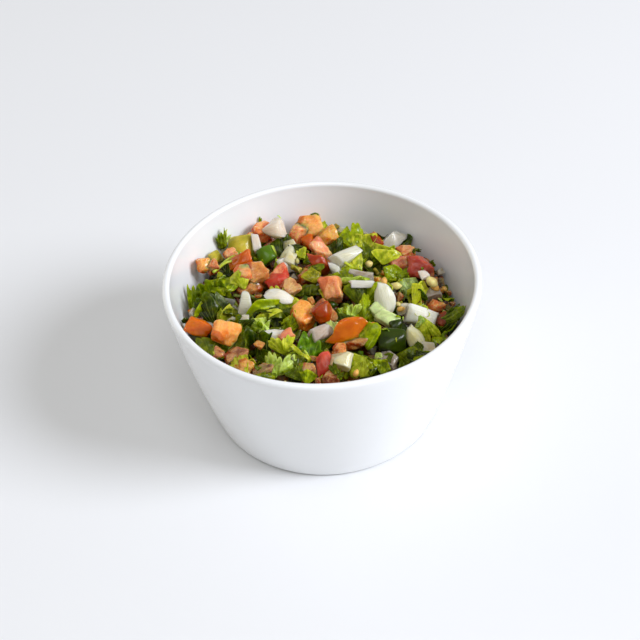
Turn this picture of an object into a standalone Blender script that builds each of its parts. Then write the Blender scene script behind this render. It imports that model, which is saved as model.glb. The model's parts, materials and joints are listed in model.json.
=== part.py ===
"""A plain white bowl, and the heap of pico de gallo that fills it.

Metres, +Z up. The origin is the centre of the foot's underside, so the bowl stands on z = 0.
The bowl is one turned wall. The heap is one solid out to its uneven outline: a filling that
follows the bowl's inside, with diced chunks and leaves standing half out of its top.
"""

import math
import random

import bmesh
import bpy
from mathutils import Euler, Vector

# Driving sizes of the bowl
RIM_RADIUS = 0.060  # outside
BOWL_HEIGHT = 0.0625
BASE_RADIUS = 0.044  # outside, where the wall's line would meet the table
WALL = 0.0029
BULGE = 0.0009  # the wall swells outwards by this at half its height
FOOT_ROUNDING = 0.002
FOOT_WIDTH = 0.0045  # flat ring that the bowl stands on
RECESS_DEPTH = 0.0014
RECESS_SLOPE = 0.0012
FLOOR_HEIGHT = 0.0052
FLOOR_FILLET = 0.009
BOWL_STEPS = 96
INNER_WALL_STEPS = 4
OUTER_WALL_STEPS = 5
FILLET_STEPS = 4
LIP_STEPS = 6  # even, so that one point stands at the full height
FOOT_STEPS = 3

# Driving sizes of the heap
GAP = 0.00034  # between the heap and the bowl
EDGE_LEVEL = 0.0455  # where the contents meet the wall
CROWN = 0.0050  # how much higher the filling is in the middle
CROWN_ROUNDNESS = 2.2  # the power of the radius by which the crown falls off
BACK_LEFT_RISE = 0.0016  # it is piled a little higher at the back left
LEFT_SHARE = 0.6  # of that rise: how much of it runs to the left instead of to the back
WAVE = 0.0009  # height of the filling's waves
WAVE_LENGTH_X = 0.0061  # for one radian
WAVE_LENGTH_Y = 0.0053
WAVE_SHIFT_X = 0.8
WAVE_SHIFT_Y = -0.4
HEAP_STEPS = 48
HEAP_RINGS = 8
HEAP_SIDE_LEVELS = 3
EDGE_ROUNDS = 3  # rounds in which the edge's radius and level are fitted to each other
HIGHEST = 0.0574  # no chunk stands above this
SEED = 23

# The chunks: kind, how many, (width, depth, height) of a middling one, how far it is sunk
CHUNKS = (
    ("dice", 44, (0.0105, 0.0090, 0.0085), 0.50),
    ("stick", 12, (0.0125, 0.0060, 0.0058), 0.45),
    ("leaf", 26, (0.0150, 0.0120, 0.0026), 0.10),
)
UNEVENNESS = 0.22  # of each side of a chunk
CHUNK_TILT = math.radians(28)
CHUNK_CLEARANCE = 0.0009  # from the bowl's wall
LEAF_SIDES = 6
LEAF_TOP = 0.84  # width of a leaf's upper side, as a share of the lower one's
PLACES_TRIED = 24  # random places for each chunk, of which the loneliest is kept
MOST_MOVES = 80  # by which a chunk is brought inside the bowl
MOVE_DOWN = 0.0003
MOVE_INWARDS = 0.98  # of its distance from the axis

# Points closer than this are one
SAME_PLACE = 0.00002
SMALLEST_EDGE = 0.00003

# Finishes: colour, roughness
WHITE_GLAZE = (0.86, 0.86, 0.87), 0.22
PICO = (0.42, 0.30, 0.10), 0.35

# The wall's tilt, and the circle that rounds the lip
LIP_RADIUS = WALL / 2
LIP_LEVEL = BOWL_HEIGHT - LIP_RADIUS


def outer_radius(z):
    t = z / LIP_LEVEL
    return BASE_RADIUS + (RIM_RADIUS - BASE_RADIUS) * t + 4 * BULGE * t * (1 - t)


def outer_slope(z):
    """The wall's angle from upright at this height."""
    t = z / LIP_LEVEL
    return math.atan(((RIM_RADIUS - BASE_RADIUS) + 4 * BULGE * (1 - 2 * t)) / LIP_LEVEL)


def inner_radius(z):
    return outer_radius(z) - WALL


def arc(centre, radius, start, end, steps):
    """Points (r, z) along an arc, by angle in radians from the +r direction."""
    angles = [start + (end - start) * i / steps for i in range(steps + 1)]
    return [
        (centre[0] + radius * math.cos(a), centre[1] + radius * math.sin(a))
        for a in angles
    ]


def inner_profile(inset, top, wall_steps, fillet_steps):
    """(r, z) from the axis along the floor and up the inner wall to the level top.

    inset keeps the line that far from the bowl's own surface.
    """
    tilt = outer_slope(FLOOR_HEIGHT + FLOOR_FILLET)
    tangent_z = FLOOR_HEIGHT + FLOOR_FILLET * (1 - math.sin(tilt))
    centre = (
        inner_radius(tangent_z) - FLOOR_FILLET * math.cos(tilt),
        FLOOR_HEIGHT + FLOOR_FILLET,
    )
    fillet = arc(centre, FLOOR_FILLET - inset, -math.pi / 2, -tilt, fillet_steps)
    wall = []
    for i in range(1, wall_steps + 1):
        z = tangent_z + (top - tangent_z) * i / wall_steps
        wall.append((inner_radius(z) - inset / math.cos(outer_slope(z)), z))
    return [(0.0, FLOOR_HEIGHT + inset)] + fillet + wall


def bowl_profile():
    """(r, z) of the whole bowl: floor, inner wall, lip, then down the outer wall and under."""
    inside = inner_profile(0.0, LIP_LEVEL, INNER_WALL_STEPS, FILLET_STEPS)
    lip_centre = (RIM_RADIUS - LIP_RADIUS, LIP_LEVEL)
    lip = arc(lip_centre, LIP_RADIUS, math.pi, 0.0, LIP_STEPS)[1:]
    tilt = outer_slope(0.0)
    tangent_z = FOOT_ROUNDING * (1 - math.sin(tilt))
    foot_centre = (
        outer_radius(tangent_z) - FOOT_ROUNDING * math.cos(tilt),
        FOOT_ROUNDING,
    )
    drop = (LIP_LEVEL - tangent_z) / OUTER_WALL_STEPS
    levels = [LIP_LEVEL - drop * i for i in range(1, OUTER_WALL_STEPS)]
    wall = [(outer_radius(z), z) for z in levels]
    foot = arc(foot_centre, FOOT_ROUNDING, -tilt, -math.pi / 2, FOOT_STEPS)
    ring_inside = foot_centre[0] - FOOT_WIDTH
    under = [
        (ring_inside, 0.0),
        (ring_inside - RECESS_SLOPE, RECESS_DEPTH),
        (0.0, RECESS_DEPTH),
    ]
    return inside + lip + wall + foot + under


def turned(name, profile, steps):
    """An object turned from a profile of (r, z) points that starts and ends on the axis."""
    mesh = bpy.data.meshes.new(name)
    points = [(r, 0.0, z) for r, z in profile]
    edges = [(i, i + 1) for i in range(len(points) - 1)]
    mesh.from_pydata(points, edges, [])
    turned_object = bpy.data.objects.new(name, mesh)
    bpy.context.scene.collection.objects.link(turned_object)
    screw = turned_object.modifiers.new("Turned", "SCREW")
    screw.steps = screw.render_steps = steps
    screw.use_merge_vertices = True
    screw.merge_threshold = SAME_PLACE
    screw.use_smooth_shade = True
    return turned_object


def heap_level(x, y):
    """Height of the filling between the chunks: a low crown, higher at the back left."""
    share = min(1.0, math.hypot(x, y) / inner_radius(EDGE_LEVEL))
    crown = CROWN * (1 - share**CROWN_ROUNDNESS)
    tilt = BACK_LEFT_RISE * (y - LEFT_SHARE * x) / RIM_RADIUS
    across = math.sin(x / WAVE_LENGTH_X + WAVE_SHIFT_X)
    along = math.cos(y / WAVE_LENGTH_Y + WAVE_SHIFT_Y)
    return EDGE_LEVEL + crown + tilt + WAVE * across * along


def filling(name):
    """The filling as a closed mesh: rings over the top, rings down the side, one fan below."""
    form = bmesh.new()
    around = [2 * math.pi * i / HEAP_STEPS for i in range(HEAP_STEPS)]

    def ring(place):
        return [form.verts.new(place(math.cos(a), math.sin(a))) for a in around]

    def top_ring(share):
        def place(c, s):
            reach = 0.0
            level = EDGE_LEVEL
            for _ in range(EDGE_ROUNDS):
                reach = (inner_radius(level) - GAP / math.cos(outer_slope(level))) * share
                level = heap_level(reach * c, reach * s)
            return reach * c, reach * s, level

        return place

    rings = [ring(top_ring(1 - i / HEAP_RINGS)) for i in range(HEAP_RINGS)]
    lower = inner_profile(GAP, EDGE_LEVEL, HEAP_SIDE_LEVELS, FILLET_STEPS)[1:-1]
    side = [ring(lambda c, s, r=r, z=z: (r * c, r * s, z)) for r, z in reversed(lower)]
    loops = list(reversed(rings)) + side
    for upper, under in zip(loops, loops[1:]):
        for i in range(HEAP_STEPS):
            j = (i + 1) % HEAP_STEPS
            form.faces.new((upper[i], under[i], under[j], upper[j]))
    top = form.verts.new((0.0, 0.0, heap_level(0.0, 0.0)))
    bottom = form.verts.new((0.0, 0.0, FLOOR_HEIGHT + GAP))
    for i in range(HEAP_STEPS):
        j = (i + 1) % HEAP_STEPS
        form.faces.new((top, loops[0][i], loops[0][j]))
        form.faces.new((bottom, loops[-1][j], loops[-1][i]))
    bmesh.ops.triangulate(form, faces=form.faces)
    mesh = bpy.data.meshes.new(name)
    form.to_mesh(mesh)
    form.free()
    heap = bpy.data.objects.new(name, mesh)
    bpy.context.scene.collection.objects.link(heap)
    return heap


def chunk_form(kind, size):
    """A chunk about its own centre: a box for a dice or a stick, a plate for a leaf."""
    form = bmesh.new()
    if kind == "leaf":
        bmesh.ops.create_cone(
            form,
            cap_ends=True,
            segments=LEAF_SIDES,
            radius1=0.5,
            radius2=0.5 * LEAF_TOP,
            depth=1.0,
        )
    else:
        bmesh.ops.create_cube(form, size=1.0)
    bmesh.ops.scale(form, vec=Vector(size), verts=form.verts)
    return form


def spread_places(count, draw):
    """Places over the heap, each as far from the others as a best-of-many draw makes it."""
    reach = inner_radius(EDGE_LEVEL)
    places = []
    while len(places) < count:
        best, best_room = None, -1.0
        for _ in range(PLACES_TRIED):
            angle = draw.uniform(0, 2 * math.pi)
            radius = reach * math.sqrt(draw.random())
            spot = Vector((radius * math.cos(angle), radius * math.sin(angle)))
            room = min([(spot - other).length for other in places] or [reach])
            if room > best_room:
                best, best_room = spot, room
        places.append(best)
    return places


def inside_bowl(points):
    return all(
        math.hypot(p.x, p.y) < inner_radius(p.z) - CHUNK_CLEARANCE and p.z < HIGHEST
        for p in points
    )


def settle(form, turn, spot, level):
    """Turns the chunk and moves it in from the wall, or down, until it is inside the bowl."""
    bmesh.ops.rotate(form, cent=(0, 0, 0), matrix=turn, verts=form.verts)
    place = Vector((spot.x, spot.y, level))
    shape = [v.co.copy() for v in form.verts]
    for _ in range(MOST_MOVES):
        points = [place + p for p in shape]
        if inside_bowl(points):
            break
        if max(p.z for p in points) >= HIGHEST:
            place.z -= MOVE_DOWN
        else:
            inwards = place * MOVE_INWARDS
            rise = heap_level(inwards.x, inwards.y) - heap_level(place.x, place.y)
            place = Vector((inwards.x, inwards.y, place.z + rise))
    bmesh.ops.translate(form, vec=place, verts=form.verts)


def chunks():
    """The chunks and leaves that stand half out of the filling, as hidden helpers."""
    draw = random.Random(SEED)
    kinds = [(kind, size, sunk) for kind, count, size, sunk in CHUNKS for _ in range(count)]
    draw.shuffle(kinds)
    helpers = bpy.data.collections.new("Chunks")
    bpy.context.scene.collection.children.link(helpers)
    for number, ((kind, size, sunk), spot) in enumerate(
        zip(kinds, spread_places(len(kinds), draw))
    ):
        sides = [s * draw.uniform(1 - UNEVENNESS, 1 + UNEVENNESS) for s in size]
        form = chunk_form(kind, sides)
        turn = Euler(
            (
                draw.uniform(-CHUNK_TILT, CHUNK_TILT),
                draw.uniform(-CHUNK_TILT, CHUNK_TILT),
                draw.uniform(0, 2 * math.pi),
            )
        ).to_matrix()
        level = heap_level(spot.x, spot.y) + sides[2] * (0.5 - sunk)
        settle(form, turn, spot, level)
        mesh = bpy.data.meshes.new(f"chunk_{number}")
        form.to_mesh(mesh)
        form.free()
        chunk = bpy.data.objects.new(f"chunk_{number}", mesh)
        chunk.hide_render = True
        chunk.display_type = "WIRE"
        helpers.objects.link(chunk)
    return helpers


def material(name, colour, roughness):
    finish = bpy.data.materials.new(name)
    finish.use_nodes = True
    shader = finish.node_tree.nodes["Principled BSDF"]
    shader.inputs["Base Color"].default_value = (*colour, 1.0)
    shader.inputs["Roughness"].default_value = roughness
    shader.inputs["Metallic"].default_value = 0.0
    return finish


def clear_scene():
    for thing in list(bpy.data.objects):
        bpy.data.objects.remove(thing)


def make_bowl():
    bowl = turned("bowl", bowl_profile(), BOWL_STEPS)
    bowl.data.materials.append(material("white_glaze", *WHITE_GLAZE))
    return bowl


def outer_shell(mesh):
    """Deletes every shell of the mesh but the largest, which fills the pockets under chunks."""
    form = bmesh.new()
    form.from_mesh(mesh)
    bmesh.ops.remove_doubles(form, verts=form.verts, dist=SMALLEST_EDGE)
    unseen = set(form.faces)
    shells = []
    while unseen:
        shell = set()
        reached = [next(iter(unseen))]
        while reached:
            face = reached.pop()
            if face not in shell:
                shell.add(face)
                reached += [other for edge in face.edges for other in edge.link_faces]
        unseen -= shell
        shells.append(shell)
    shells.sort(key=len)
    pockets = [face for shell in shells[:-1] for face in shell]
    bmesh.ops.delete(form, geom=pockets, context="FACES")
    form.to_mesh(mesh)
    form.free()


def make_heap():
    heap = filling("pico_heap")
    joined = heap.modifiers.new("Chunks", "BOOLEAN")
    joined.operation = "UNION"
    joined.operand_type = "COLLECTION"
    joined.collection = chunks()
    joined.solver = "EXACT"
    graph = bpy.context.evaluated_depsgraph_get()
    whole = bpy.data.meshes.new_from_object(heap.evaluated_get(graph))
    heap.modifiers.remove(joined)
    outer_shell(whole)
    heap.data = whole
    whole.materials.append(material("pico", *PICO))
    return heap


clear_scene()
make_bowl()
make_heap()
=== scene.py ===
"""A white bowl heaped with pico de gallo: the looks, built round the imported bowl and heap.

Metres, +Z up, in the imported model's frame. The bowl is turned from its profile. The heap is laid
piece by piece on a bed of heights, from a juicy core up: first the filling, then the pieces that
the photograph shows, each at its place in the view, then loose scraps and what lies on them. Then
each kind of piece becomes one mesh.
"""

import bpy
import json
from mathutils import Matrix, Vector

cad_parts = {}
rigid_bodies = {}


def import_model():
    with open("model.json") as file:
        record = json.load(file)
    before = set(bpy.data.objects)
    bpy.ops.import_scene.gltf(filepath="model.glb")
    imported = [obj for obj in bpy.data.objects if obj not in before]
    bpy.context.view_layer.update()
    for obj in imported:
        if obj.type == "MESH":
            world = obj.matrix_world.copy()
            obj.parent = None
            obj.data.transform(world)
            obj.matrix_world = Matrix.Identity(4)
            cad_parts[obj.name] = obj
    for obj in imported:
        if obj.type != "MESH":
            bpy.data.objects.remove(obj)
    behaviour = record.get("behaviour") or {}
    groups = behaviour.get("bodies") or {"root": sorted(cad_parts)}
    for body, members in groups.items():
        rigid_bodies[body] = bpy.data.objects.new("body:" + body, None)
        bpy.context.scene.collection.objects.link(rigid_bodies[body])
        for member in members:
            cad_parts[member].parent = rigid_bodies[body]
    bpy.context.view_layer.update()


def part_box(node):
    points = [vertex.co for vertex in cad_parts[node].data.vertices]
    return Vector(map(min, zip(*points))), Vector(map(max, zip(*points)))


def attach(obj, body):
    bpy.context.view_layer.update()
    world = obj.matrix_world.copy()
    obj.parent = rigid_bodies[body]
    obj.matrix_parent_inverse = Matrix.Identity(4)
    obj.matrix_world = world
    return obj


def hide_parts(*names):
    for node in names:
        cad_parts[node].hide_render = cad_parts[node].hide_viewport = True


bl_info = {
    "name": "Pico de gallo in a white bowl",
    "version": (1, 0, 0),
    "blender": (4, 5, 0),
    "location": "View3D > Sidebar > Pico",
    "description": "Builds a white bowl heaped with diced tomato, onion, chilli and coriander",
    "category": "Object",
}

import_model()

import json
import math
import random
from collections import namedtuple
from functools import partial

import bmesh
import bpy
import numpy as np
from bpy.props import FloatProperty, FloatVectorProperty, IntProperty, PointerProperty
from mathutils import Euler, Matrix, Vector

MM = 0.001
FULL_TURN = 2 * math.pi
BODY = "root"

# The bowl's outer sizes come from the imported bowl
BOWL_LOW, BOWL_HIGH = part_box("bowl")
RIM_RADIUS = (BOWL_HIGH.x - BOWL_LOW.x) / 2
BOWL_HEIGHT = BOWL_HIGH.z
HEAP_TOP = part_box("pico_heap")[1].z

# The view: a camera on the -Y side that looks down at the rim
VIEW_DISTANCE = 0.600
VIEW_ELEVATION = math.radians(40.23)
VIEW_ROLL = math.radians(2.35)
PHOTO_SIDE = 640
PHOTO_FOCAL = 1598.5  # in the photo's pixels
RIM_IN_PHOTO = (323.33, 276.03)  # the rim's middle, before the roll
SENSOR_WIDTH = 36.0  # mm


# ---------------------------------------------------------------- settings


def size(name, description, default, high=0.2):
    return FloatProperty(
        name=name, description=description, default=default, min=0.0, max=high,
        subtype="DISTANCE", unit="LENGTH", precision=5,
    )


def share(name, description, default):
    return FloatProperty(
        name=name, description=description, default=default, min=0.0, max=1.0, subtype="FACTOR"
    )


def colour(name, description, default):
    return FloatVectorProperty(
        name=name, description=description, default=default, size=3, min=0.0, max=1.0,
        subtype="COLOR",
    )


def count(name, description, default):
    return IntProperty(name=name, description=description, default=default, min=0, max=2000)


def power(name, description, default):
    return FloatProperty(name=name, description=description, default=default, min=0.0, unit="POWER")


def angle(name, description, default):
    return FloatProperty(
        name=name, description=description, default=math.radians(default),
        min=-math.pi, max=math.pi, subtype="ANGLE", unit="ROTATION",
    )


def diced(name, dice, deep, middle, front, crumbs, **more):
    """Settings of a diced food: the side of its dice and how many lie in each layer."""
    rows = {
        "dice": size("Dice", "Side of a middling dice", dice),
        "deep": count("Deep", "Dice laid at the bottom", deep),
        "middle": count("Middle", "Small pieces laid under the shown ones", middle),
        "front": count("Front", "Dice behind the front rim", front),
        "crumbs": count("Crumbs", "Small bits that lie loose on top", crumbs),
    }
    return type(name, (bpy.types.PropertyGroup,), {"__annotations__": rows | more})


class BowlSettings(bpy.types.PropertyGroup):
    base_radius: size("Base radius", "Where the wall's line meets the table", 0.044)
    wall: size("Wall", "Thickness of the wall", 0.0029)
    bulge: size("Bulge", "Swelling of the wall at half height", 0.0009)
    foot_rounding: size("Foot rounding", "Radius between wall and foot", 0.002)
    foot_width: size("Foot width", "Width of the flat foot ring", 0.0045)
    recess: size("Recess", "Depth of the hollow under the foot", 0.0014)
    floor: size("Floor", "Height of the inner floor", 0.0052)
    fillet: size("Fillet", "Radius between floor and inner wall", 0.009)
    turns: count("Steps", "Steps round the bowl", 224)
    glaze: colour("Glaze", "Colour of the white glaze", (0.882, 0.893, 0.897))


class HeapSettings(bpy.types.PropertyGroup):
    edge_level: size("Edge level", "Height at which the filling meets the wall", 0.0455)
    crown: size("Crown", "How much higher the middle is", 0.0050)
    back_left_rise: size("Rise", "Extra height at the back left", 0.0016)
    core_depth: size("Core depth", "How far the core lies under the filling's level", 0.0125)
    core_relief: size("Core relief", "Height of the core's lumps", 0.0012)
    deep_depth: size("Deep layer", "How far under the level the deep pieces stop", 0.0058)
    middle_depth: size("Middle layer", "How far under the level the middle pieces stop", 0.0022)
    front_depth: size("Front layer", "How far under the level the front pieces stop", 0.0035)
    seed: count("Seed", "Seed of the heap's random draws", 11)


TomatoSettings = diced(
    "TomatoSettings", 0.0084, 60, 40, 16, 34,
    wetness=share("Wetness", "Strength of the juice's shine", 0.5),
)
OnionSettings = diced("OnionSettings", 0.0074, 22, 16, 8, 16)
ChilliSettings = diced("ChilliSettings", 0.0074, 18, 10, 4, 14)


class CorianderSettings(bpy.types.PropertyGroup):
    leaf: size("Leaf", "Width of a middling leaf", 0.0135)
    thickness: size("Thickness", "Thickness of a leaf", 0.00028)
    deep: count("Deep", "Leaves laid at the bottom", 30)
    middle: count("Middle", "Leaves laid under the shown ones", 80)
    front: count("Front", "Leaves behind the front rim", 16)
    pieces: count("Pieces", "Torn pieces between the shown ones", 60)
    scraps: count("Scraps", "Chopped scraps on top", 190)
    stem: size("Stem", "Thickness of a stem", 0.0013)


class SeedSettings(bpy.types.PropertyGroup):
    length: size("Length", "Length of a seed", 0.0032)
    scattered: count("Scattered", "Loose seeds besides the shown ones", 14)


class StageSettings(bpy.types.PropertyGroup):
    floor: colour("Floor", "Colour of the table", (0.82, 0.825, 0.833))
    fill: FloatProperty(name="Fill", description="Strength of the room's light", default=0.37)
    key: power("Key", "Power of the window light", 36.0)
    ceiling: power("Ceiling", "Power of the light from high up", 9.6)
    bounce: power("Bounce", "Power of the light off the far wall", 10.0)
    ceiling_elevation: angle("Ceiling elevation", "Above the table, at the front", 70.0)
    bounce_azimuth: angle("Bounce azimuth", "From +X towards +Y", 146.0)
    bounce_elevation: angle("Bounce elevation", "Above the table", 12.0)
    window_azimuth: angle("Window azimuth", "From +X towards +Y", -17.0)
    window_elevation: angle("Window elevation", "Above the table", 37.0)
    distance: size("Lights' distance", "From the bowl's foot to each light", 2.0, 5.0)
    window_size: size("Window size", "Across the window", 0.85, 5.0)


def settings():
    return bpy.context.scene.pico


# ---------------------------------------------------------------- forms of the bowl


def lip_level():
    return BOWL_HEIGHT - settings().bowl.wall / 2


def outer_radius(z):
    b = settings().bowl
    t = z / lip_level()
    return b.base_radius + (RIM_RADIUS - b.base_radius) * t + 4 * b.bulge * t * (1 - t)


def outer_slope(z):
    b = settings().bowl
    t = z / lip_level()
    return math.atan(((RIM_RADIUS - b.base_radius) + 4 * b.bulge * (1 - 2 * t)) / lip_level())


def inner_radius(z):
    return outer_radius(z) - settings().bowl.wall


def arc(centre, radius, start, end, steps):
    angles = [start + (end - start) * i / steps for i in range(steps + 1)]
    return [(centre[0] + radius * math.cos(a), centre[1] + radius * math.sin(a)) for a in angles]


def inner_profile(inset, top, wall_steps, fillet_steps):
    """(r, z) from the axis along the floor and up the inner wall to the level top."""
    b = settings().bowl
    tilt = outer_slope(b.floor + b.fillet)
    tangent_z = b.floor + b.fillet * (1 - math.sin(tilt))
    centre = (inner_radius(tangent_z) - b.fillet * math.cos(tilt), b.floor + b.fillet)
    fillet = arc(centre, b.fillet - inset, -math.pi / 2, -tilt, fillet_steps)
    levels = [tangent_z + (top - tangent_z) * i / wall_steps for i in range(1, wall_steps + 1)]
    wall = [(inner_radius(z) - inset / math.cos(outer_slope(z)), z) for z in levels]
    return [(0.0, b.floor + inset)] + fillet + wall


def bowl_profile():
    """(r, z) of the whole bowl: floor, inner wall, lip, then down the outer wall and under."""
    b = settings().bowl
    lip = arc((RIM_RADIUS - b.wall / 2, lip_level()), b.wall / 2, math.pi, 0.0, 14)[1:]
    tilt = outer_slope(0.0)
    tangent_z = b.foot_rounding * (1 - math.sin(tilt))
    foot_centre = (outer_radius(tangent_z) - b.foot_rounding * math.cos(tilt), b.foot_rounding)
    wall = [(outer_radius(z), z) for z in np.linspace(lip_level(), tangent_z, 25)[1:-1]]
    foot = arc(foot_centre, b.foot_rounding, -tilt, -math.pi / 2, 8)
    ring = foot_centre[0] - b.foot_width
    edge = b.recess / 2
    under = [(ring, 0.0)] + arc((ring, edge), edge, -math.pi / 2, -math.pi, 4)[1:]
    under += [(ring - edge - b.recess / 4, b.recess), (ring / 2, b.recess), (0.0, b.recess)]
    return inner_profile(0.0, lip_level(), 22, 10) + lip + wall + foot + under


# ---------------------------------------------------------------- the photograph's view


def turned(first, second, by):
    """Two directions square to each other, both turned by that angle in their plane."""
    return (
        first * math.cos(by) - second * math.sin(by),
        second * math.cos(by) + first * math.sin(by),
    )


class View:
    """Where the camera stands, and the line of sight through a point of the photograph."""

    def __init__(self):
        back = Vector((0.0, -math.cos(VIEW_ELEVATION), math.sin(VIEW_ELEVATION)))
        self.place = Vector((0.0, 0.0, BOWL_HEIGHT)) + back * VIEW_DISTANCE
        right = Vector((1.0, 0.0, 0.0))
        ahead = -back
        up = right.cross(ahead)
        down_by = math.atan2(PHOTO_SIDE / 2 - RIM_IN_PHOTO[1], PHOTO_FOCAL)
        left_by = math.atan2(RIM_IN_PHOTO[0] - PHOTO_SIDE / 2, PHOTO_FOCAL)
        ahead, up = turned(ahead, up, down_by)
        self.ahead, right = turned(ahead, right, left_by)
        self.right, self.up = turned(right, up, VIEW_ROLL)

    def at_level(self, px, py, z):
        """The point at height z that shows at (px, py) in the photograph."""
        line = self.ahead * PHOTO_FOCAL
        line = line + self.right * (px - PHOTO_SIDE / 2) - self.up * (py - PHOTO_SIDE / 2)
        return self.place + line * ((z - self.place.z) / line.z)

    def matrix(self):
        turn = Matrix((self.right, self.up, -self.ahead)).transposed()
        return Matrix.Translation(self.place) @ turn.to_4x4()


VIEW = View()


# ---------------------------------------------------------------- the bed of heights


def heap_level(x, y):
    """Level of the filling: a low crown, a little higher at the back left."""
    h = settings().heap
    share_out = np.minimum(1.0, np.hypot(x, y) / inner_radius(h.edge_level))
    crown = h.crown * (1 - share_out**2.2)
    return h.edge_level + crown + h.back_left_rise * (y - 0.6 * x) / RIM_RADIUS


def core_level(x, y):
    """Top of the core, with lumps the size of what is under the surface."""
    h = settings().heap
    lumps = np.sin(x / 0.0021 + 1.3 * np.sin(y / 0.0034))
    lumps = lumps * np.cos(y / 0.0025 + 0.9 * np.sin(x / 0.0041))
    return heap_level(x, y) - h.core_depth + h.core_relief * lumps


def behind_rim(x, y, z):
    """Whether the front rim hides that point from the camera."""
    share_up = (BOWL_HEIGHT - z) / (VIEW.place.z - z)
    crossing = (x + (VIEW.place.x - x) * share_up, y + (VIEW.place.y - y) * share_up)
    return math.hypot(*crossing) > inner_radius(lip_level())


class Bed:
    """Heights of what lies in the bowl so far, on a square grid, so that a piece can rest on it."""

    CELL = 0.0007
    HALF = 0.063
    LOWEST = 0.030  # well under the core
    CLEAR = 0.0003  # of the wall
    NEAR = 3  # cells round a spot that count for its height
    UNSEEN_RISE = 0.0035  # how far over the level a piece behind the rim stands up

    def __init__(self):
        self.cells = int(2 * self.HALF / self.CELL)
        middle = (np.arange(self.cells) + 0.5) * self.CELL - self.HALF
        self.x, self.y = np.meshgrid(middle, middle, indexing="ij")
        self.target = heap_level(self.x, self.y)
        self.levels = np.linspace(self.LOWEST, lip_level(), 60)
        self.radii = np.array([inner_radius(z) for z in self.levels])
        radius = np.hypot(self.x, self.y)
        wall = np.interp(radius, self.radii, self.levels, left=0.0, right=lip_level())
        self.height = np.maximum(core_level(self.x, self.y), wall)

    def cell_of(self, x, y):
        i = np.clip(((x + self.HALF) / self.CELL).astype(int), 0, self.cells - 1)
        j = np.clip(((y + self.HALF) / self.CELL).astype(int), 0, self.cells - 1)
        return i, j

    def over_wall(self, points):
        """How far the points stand out past the bowl's inner wall, at most."""
        allowed = np.interp(points[:, 2], self.levels, self.radii) - self.CLEAR
        return float((np.hypot(points[:, 0], points[:, 1]) - allowed).max())

    def rest_height(self, shape, x, y, sunk):
        """Height of the shape's origin at which it rests, with that share of it sunk in."""
        i, j = self.cell_of(shape[:, 0] + x, shape[:, 1] + y)
        order = np.argsort(shape[:, 2])
        keys, first = np.unique((i * self.cells + j)[order], return_index=True)
        need = self.height.ravel()[keys] - shape[order][first, 2]
        return float(np.quantile(need, 1.0 - sunk))

    def settle(self, shape, x, y, sunk):
        """(x, y, z) of the shape at rest near (x, y), moved in from the wall where it must."""
        z = self.rest_height(shape, x, y, sunk)
        for _ in range(6):
            over = self.over_wall(shape + (x, y, z))
            if over <= 0:
                break
            radius = max(math.hypot(x, y), 1e-6)
            step = 1 - min(over + 0.0001, radius) / radius
            x, y = x * step, y * step
            z = self.rest_height(shape, x, y, sunk)
        return x, y, z

    def cover(self, points):
        """Raises the bed where the points now lie."""
        i, j = self.cell_of(points[:, 0], points[:, 1])
        np.maximum.at(self.height, (i, j), points[:, 2])

    def at(self, x, y):
        """Height between the cells, smoothed over the nearest ones."""
        u, v = (np.clip((w + self.HALF) / self.CELL - 0.5, 0, self.cells - 1.001) for w in (x, y))
        i, j = u.astype(int), v.astype(int)
        a, b = u - i, v - j
        low = self.height[i, j] * (1 - b) + self.height[i, j + 1] * b
        high = self.height[i + 1, j] * (1 - b) + self.height[i + 1, j + 1] * b
        return low * (1 - a) + high * a

    def lowest_spot(self, draw, tries, reach, unseen=False):
        """Of some random spots, the one that lies furthest under the filling's level."""
        best, most = None, -1.0
        while tries or best is None:
            tries = max(tries - 1, 0)
            way, radius = draw.uniform(0, FULL_TURN), reach * math.sqrt(draw.random())
            x, y = radius * math.cos(way), radius * math.sin(way)
            if unseen and not behind_rim(x, y, float(heap_level(x, y)) + self.UNSEEN_RISE):
                continue
            (i,), (j,) = self.cell_of(np.array([x]), np.array([y]))
            rows, columns = (slice(n - self.NEAR, n + self.NEAR + 1) for n in (i, j))
            lack = float(self.target[i, j] - self.height[rows, columns].mean())
            if lack > most or best is None:
                best, most = (x, y), lack
        return best, most


# ---------------------------------------------------------------- forms of the cut pieces


Form = namedtuple("Form", "points faces skin rim")


def ripple(points, draw, waves, finest):
    """A smooth random height over points, from -1 to 1 or so."""
    total = np.zeros(len(points))
    for _ in range(waves):
        way = np.array([draw.gauss(0, 1) for _ in range(3)])
        way *= draw.uniform(0.4, 1.0) * finest / np.linalg.norm(way)
        total += np.sin(points @ way + draw.uniform(0, FULL_TURN))
    return total / math.sqrt(waves)


def box_grid(inner, rounding):
    """Points and faces of a rounded box, 1 across, and how close each point lies to an edge."""
    half = 0.5 - rounding
    row = np.concatenate([[-0.5], np.linspace(-half, half, inner + 2), [0.5]])
    if inner:
        row = np.sort(np.concatenate([row, [rounding / 2 - 0.5, 0.5 - rounding / 2]]))
    last = len(row) - 1
    number, points, faces = {}, [], []

    def corner(key):
        if key not in number:
            number[key] = len(points)
            points.append([row[n] for n in key])
        return number[key]

    sides = [(axis, side, a, b) for axis in range(3) for side in (0, last)
             for a in range(last) for b in range(last)]
    for axis, side, a, b in sides:
        loop = [(a, b), (a + 1, b), (a + 1, b + 1), (a, b + 1)]
        keys = [spot[:axis] + (side,) + spot[axis:] for spot in loop]
        if (side == last) == (axis == 1):
            keys.reverse()
        faces.append([corner(key) for key in keys])
    points = np.array(points)
    rim = np.clip((np.sort(np.abs(points), axis=1)[:, 1] - 0.30) / 0.17, 0, 1)
    within = np.clip(points, -half, half)
    off = points - within
    return within + rounding * off / np.linalg.norm(off, axis=1)[:, None], faces, rim


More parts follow.
